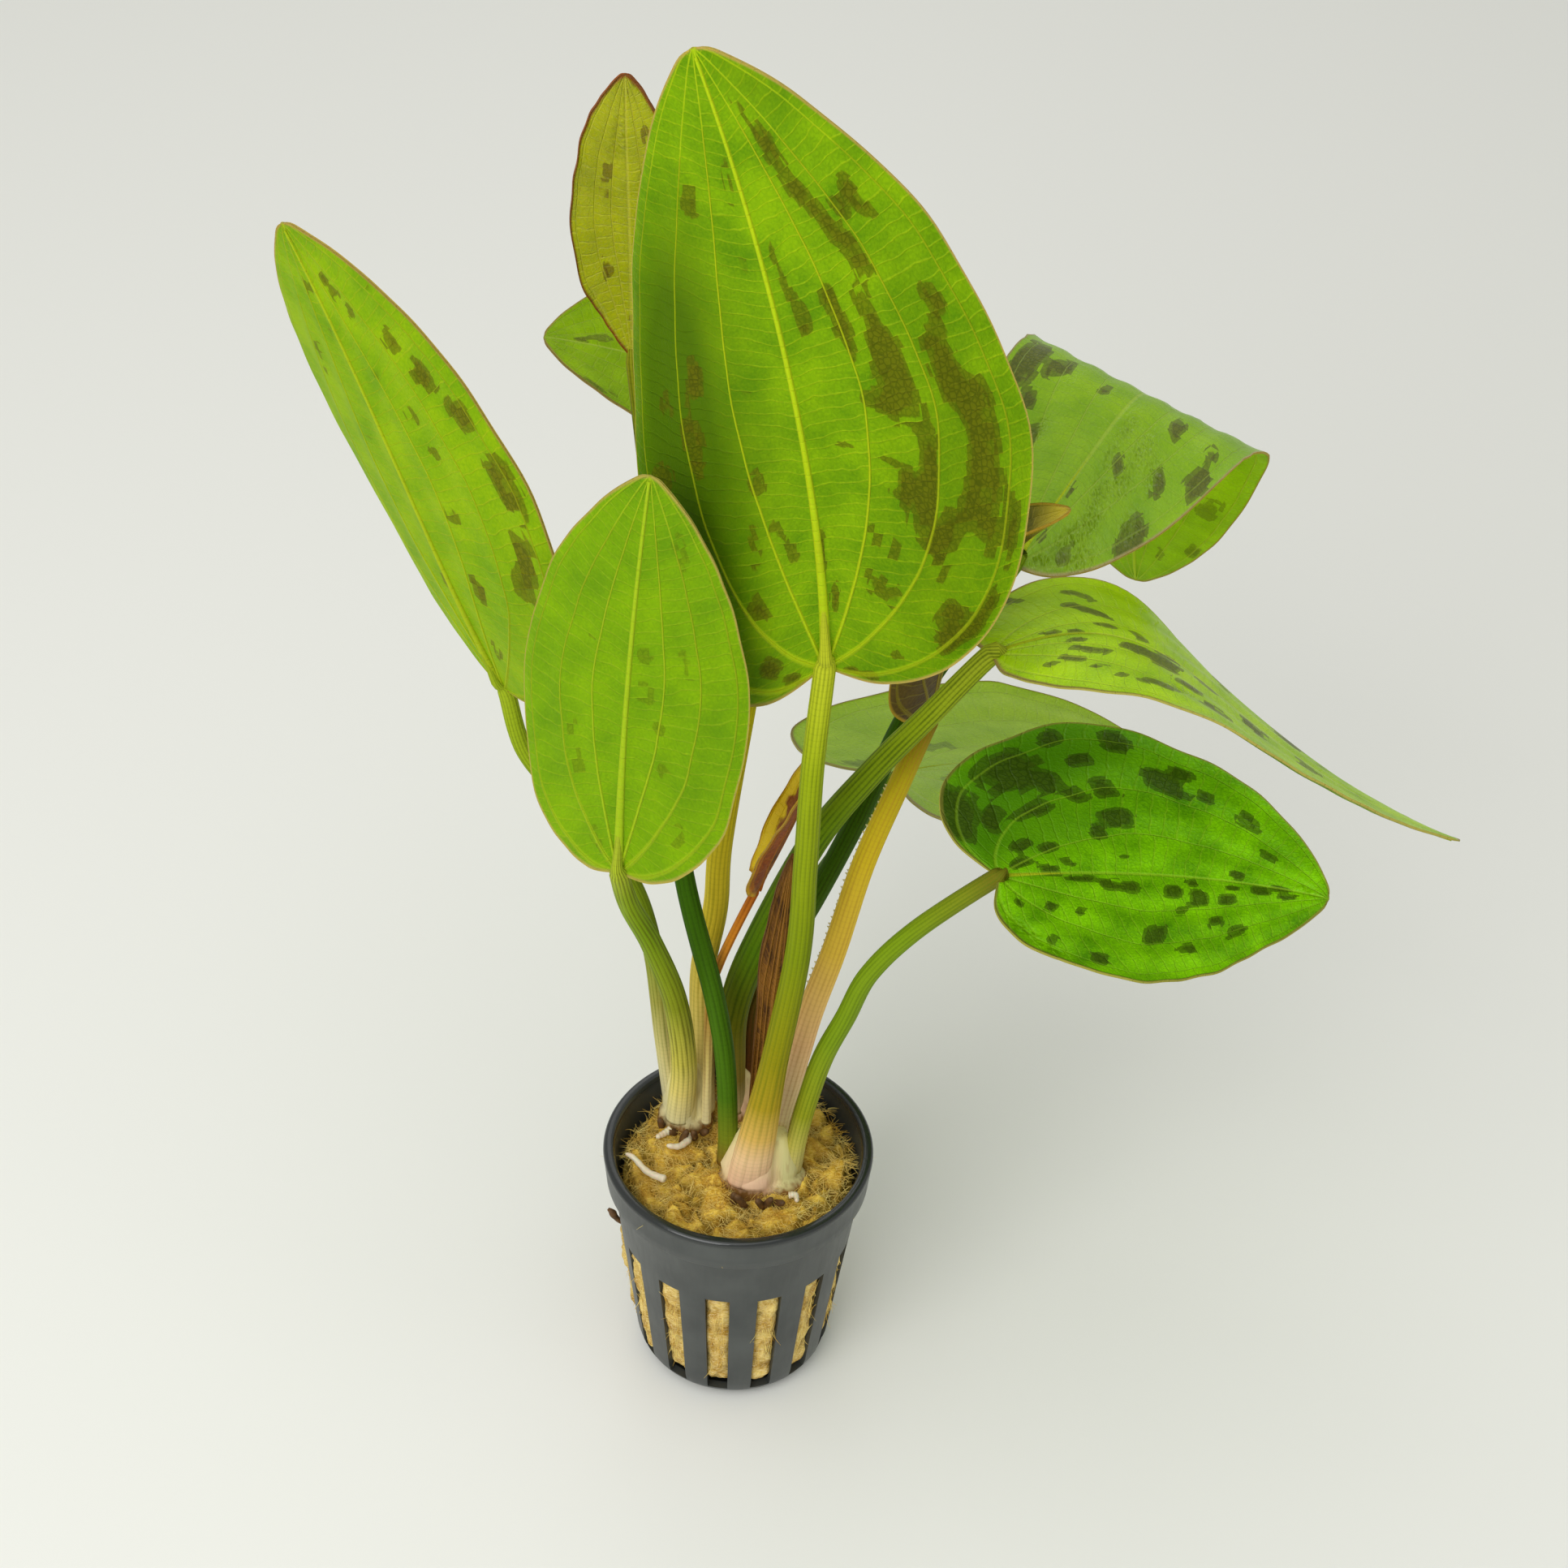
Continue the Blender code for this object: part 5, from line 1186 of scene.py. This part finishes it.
# Single mineral fibres are glassy, thin and bent, and stand up from the wool as golden wisps.
# They are drawn thicker than real ones so that they show, and their tone drifts over 4 mm.
fibre_skin, add, shader = new_material("loose_mineral_fibre")
tone = add("TexNoise", Vector=add("TexCoord").outputs["Object"], Scale=0.26 / MM, Detail=2.0).outputs[0]
tone = add("MapRange", tone, 0.35, 0.65)
colour = add("MixRGB", tone, linear("DCAE3C"), linear("FFE888"))
wire(shader, {"Base Color": colour, "Roughness": 0.7})
draw = np.random.default_rng(WOOL_SEED)
points, faces = [], []
for k in range(FIBRES):
    a, fly = draw.uniform(0, 2 * math.pi), draw.uniform(0, 2 * math.pi)
    if k % SLOT_FIBRE_EVERY:
        radius = FIBRE_REACH * math.sqrt(draw.uniform(0.02, 1.0))
        x, y = radius * math.cos(a), radius * math.sin(a)
        start = Vector((x, y, tufted_height(x, y)[0] - 0.15))
        way = Vector((math.cos(fly), math.sin(fly), draw.uniform(-0.15, 0.45)))
    else:
        slot, z = draw.integers(0, POT_SLOTS), draw.uniform(10.0, 27.0)
        a = slot_bearing(slot) + draw.uniform(-0.07, 0.07)
        radius = np.interp(z, WALL_HEIGHTS, WALL_RADII) + 0.8
        start = Vector((radius * math.cos(a), radius * math.sin(a), z))
        side = draw.uniform(-0.3, 0.3)
        way = Vector((0.05 * math.cos(a) - side * math.sin(a), 0.05 * math.sin(a) + side * math.cos(a),
                      draw.choice((-1.0, 1.0))))
    length = draw.uniform(1.4, 3.6) if k % LONG_FIBRE_EVERY else draw.uniform(3.4, 5.4)
    bow = Vector(draw.normal(0, 0.35, 3))
    bow.z = -abs(bow.z) * 0.7 if k % SLOT_FIBRE_EVERY else bow.z * 0.2
    run = np.linspace(0, 1, len(FIBRE_TAPER))
    centres = [start + way.normalized() * length * t + bow * length * t * t * 0.6 for t in run]
    add_tube(points, faces, centres, FIBRE_TAPER * draw.uniform(0.035, 0.07), FIBRE_SIDES)
add_piece("wool_fibres", points, faces, [fibre_skin], "wool")

# Pot
# A 5 cm net pot, injection moulded in dark polypropylene. A stepped collar and a rolled lip
# stiffen it, and 14 tapered slots let the roots out. Its profile is a list of radii and heights,
# from the middle of the underside out, over the lip and back in to the middle of the inner base.
SLOT_LOW = 3.0
SLOT_HIGH = 32.0
SLOT_WIDTHS = (3.8, 4.6)
SLOT_REACH = (13, 30)
POT_SIDES = 168
LEAST_RADIUS = 0.02
SHARP_EDGE = 32
POT_PROFILE = (
    (0.0, 0.0), (13.2, 0.0), (13.9, 0.12), (15.2, 0.45), (16.6, 1.1), (17.5, 2.1), (18.15, 3.4),
    (18.55, 5.0), (18.8, 7.0), (20.2, 18.6), (21.7, 31.0), (23.1, 42.7), (23.25, 43.2), (23.7, 43.5),
    (24.15, 43.7), (24.4, 44.1), (24.55, 45.8), (24.9, 49.6), (25.0, 50.2), (24.9, 50.6), (24.65, 50.88),
    (24.3, 51.0), (23.6, 51.0), (23.2, 50.86), (22.95, 50.5), (22.85, 50.0), (22.5, 47.0), (22.15, 43.5),
    (21.4, 36.0), (19.6, 21.0), (17.7, 7.0), (17.3, 5.0), (16.5, 3.2), (15.2, 1.9), (13.2, 1.2), (0.0, 1.2))

# Moulded polypropylene is charcoal and satin. Hazy clouds 11 mm across and upright scuffs 1 mm
# wide break up its shine, and the lip is darker and glossy with water.
moulded_plastic, add, shader = new_material("moulded_polypropylene")
spot = add("TexCoord").outputs["Object"]
height = add("Math", add("SeparateXYZ", spot).outputs["Z"], 1 / MM, operation="MULTIPLY")
haze = add("TexNoise", Vector=spot, Scale=0.09 / MM, Detail=4.0).outputs[0]
upright = add("Mapping", Vector=spot, Scale=(0.9 / MM, 0.9 / MM, 0.16 / MM))
scuff = add("TexNoise", Vector=upright, Scale=1.0, Detail=2.0).outputs[0]
tone = add("MapRange", haze, 0.35, 0.7)
colour = add("MixRGB", tone, linear("323635"), linear("454947"))
wet_lip = add("MapRange", height, 49.3, 50.6)
colour = add("MixRGB", wet_lip, colour, linear("252827"))
satin = add("Math", scuff, 0.16, 0.34, operation="MULTIPLY_ADD")
satin = add("MapRange", wet_lip, None, None, satin, 0.16)
relief = add("Math", scuff, 0.4, haze, operation="MULTIPLY_ADD")
bump = add("Bump", Strength=0.25, Distance=0.2 * MM, Height=relief)
wire(shader, {"Base Color": colour, "Roughness": satin, "Normal": bump, "Specular IOR Level": 0.55})

# The pot is turned from its profile, and one cutter with 14 tapered blocks opens the slots
points = []
for radius, z in POT_PROFILE:
    radius = max(radius, LEAST_RADIUS)
    for a in np.linspace(0, 2 * math.pi, POT_SIDES, endpoint=False):
        points.append((radius * math.cos(a), radius * math.sin(a), z))
net_pot = add_piece("net_pot", points, ring_faces(len(POT_PROFILE), POT_SIDES), [moulded_plastic], "pot",
                    ["pot"])
points, faces = [], []
for slot in range(POT_SLOTS):
    out = Vector((math.cos(slot_bearing(slot)), math.sin(slot_bearing(slot)), 0))
    across = Vector((-out.y, out.x, 0))
    first = len(points)
    near, far = SLOT_REACH
    for z, width in ((SLOT_LOW, SLOT_WIDTHS[0]), (SLOT_HIGH, SLOT_WIDTHS[1])):
        for reach, side in ((near, -1), (far, -1), (far, 1), (near, 1)):
            points.append((out * reach + across * side * width / 2 + Vector((0, 0, z))) * MM)
    for face in ((3, 2, 1, 0), (4, 5, 6, 7), (0, 1, 5, 4), (1, 2, 6, 5), (2, 3, 7, 6), (3, 0, 4, 7)):
        faces.append(tuple(first + k for k in face))
cutter_mesh = bpy.data.meshes.new("slot_cutter")
cutter_mesh.from_pydata([tuple(p) for p in points], [], faces)
cutter = bpy.data.objects.new("slot_cutter", cutter_mesh)
bpy.context.scene.collection.objects.link(cutter)
cut = net_pot.modifiers.new("slots", "BOOLEAN")
cut.operation, cut.solver, cut.object = "DIFFERENCE", "EXACT", cutter
bpy.context.view_layer.update()
slotted = bpy.data.meshes.new_from_object(net_pot.evaluated_get(bpy.context.evaluated_depsgraph_get()))
net_pot.modifiers.clear()
bpy.data.objects.remove(cutter)
net_pot.data = slotted
slotted.shade_smooth()
slotted.set_sharp_from_angle(angle=math.radians(SHARP_EDGE))
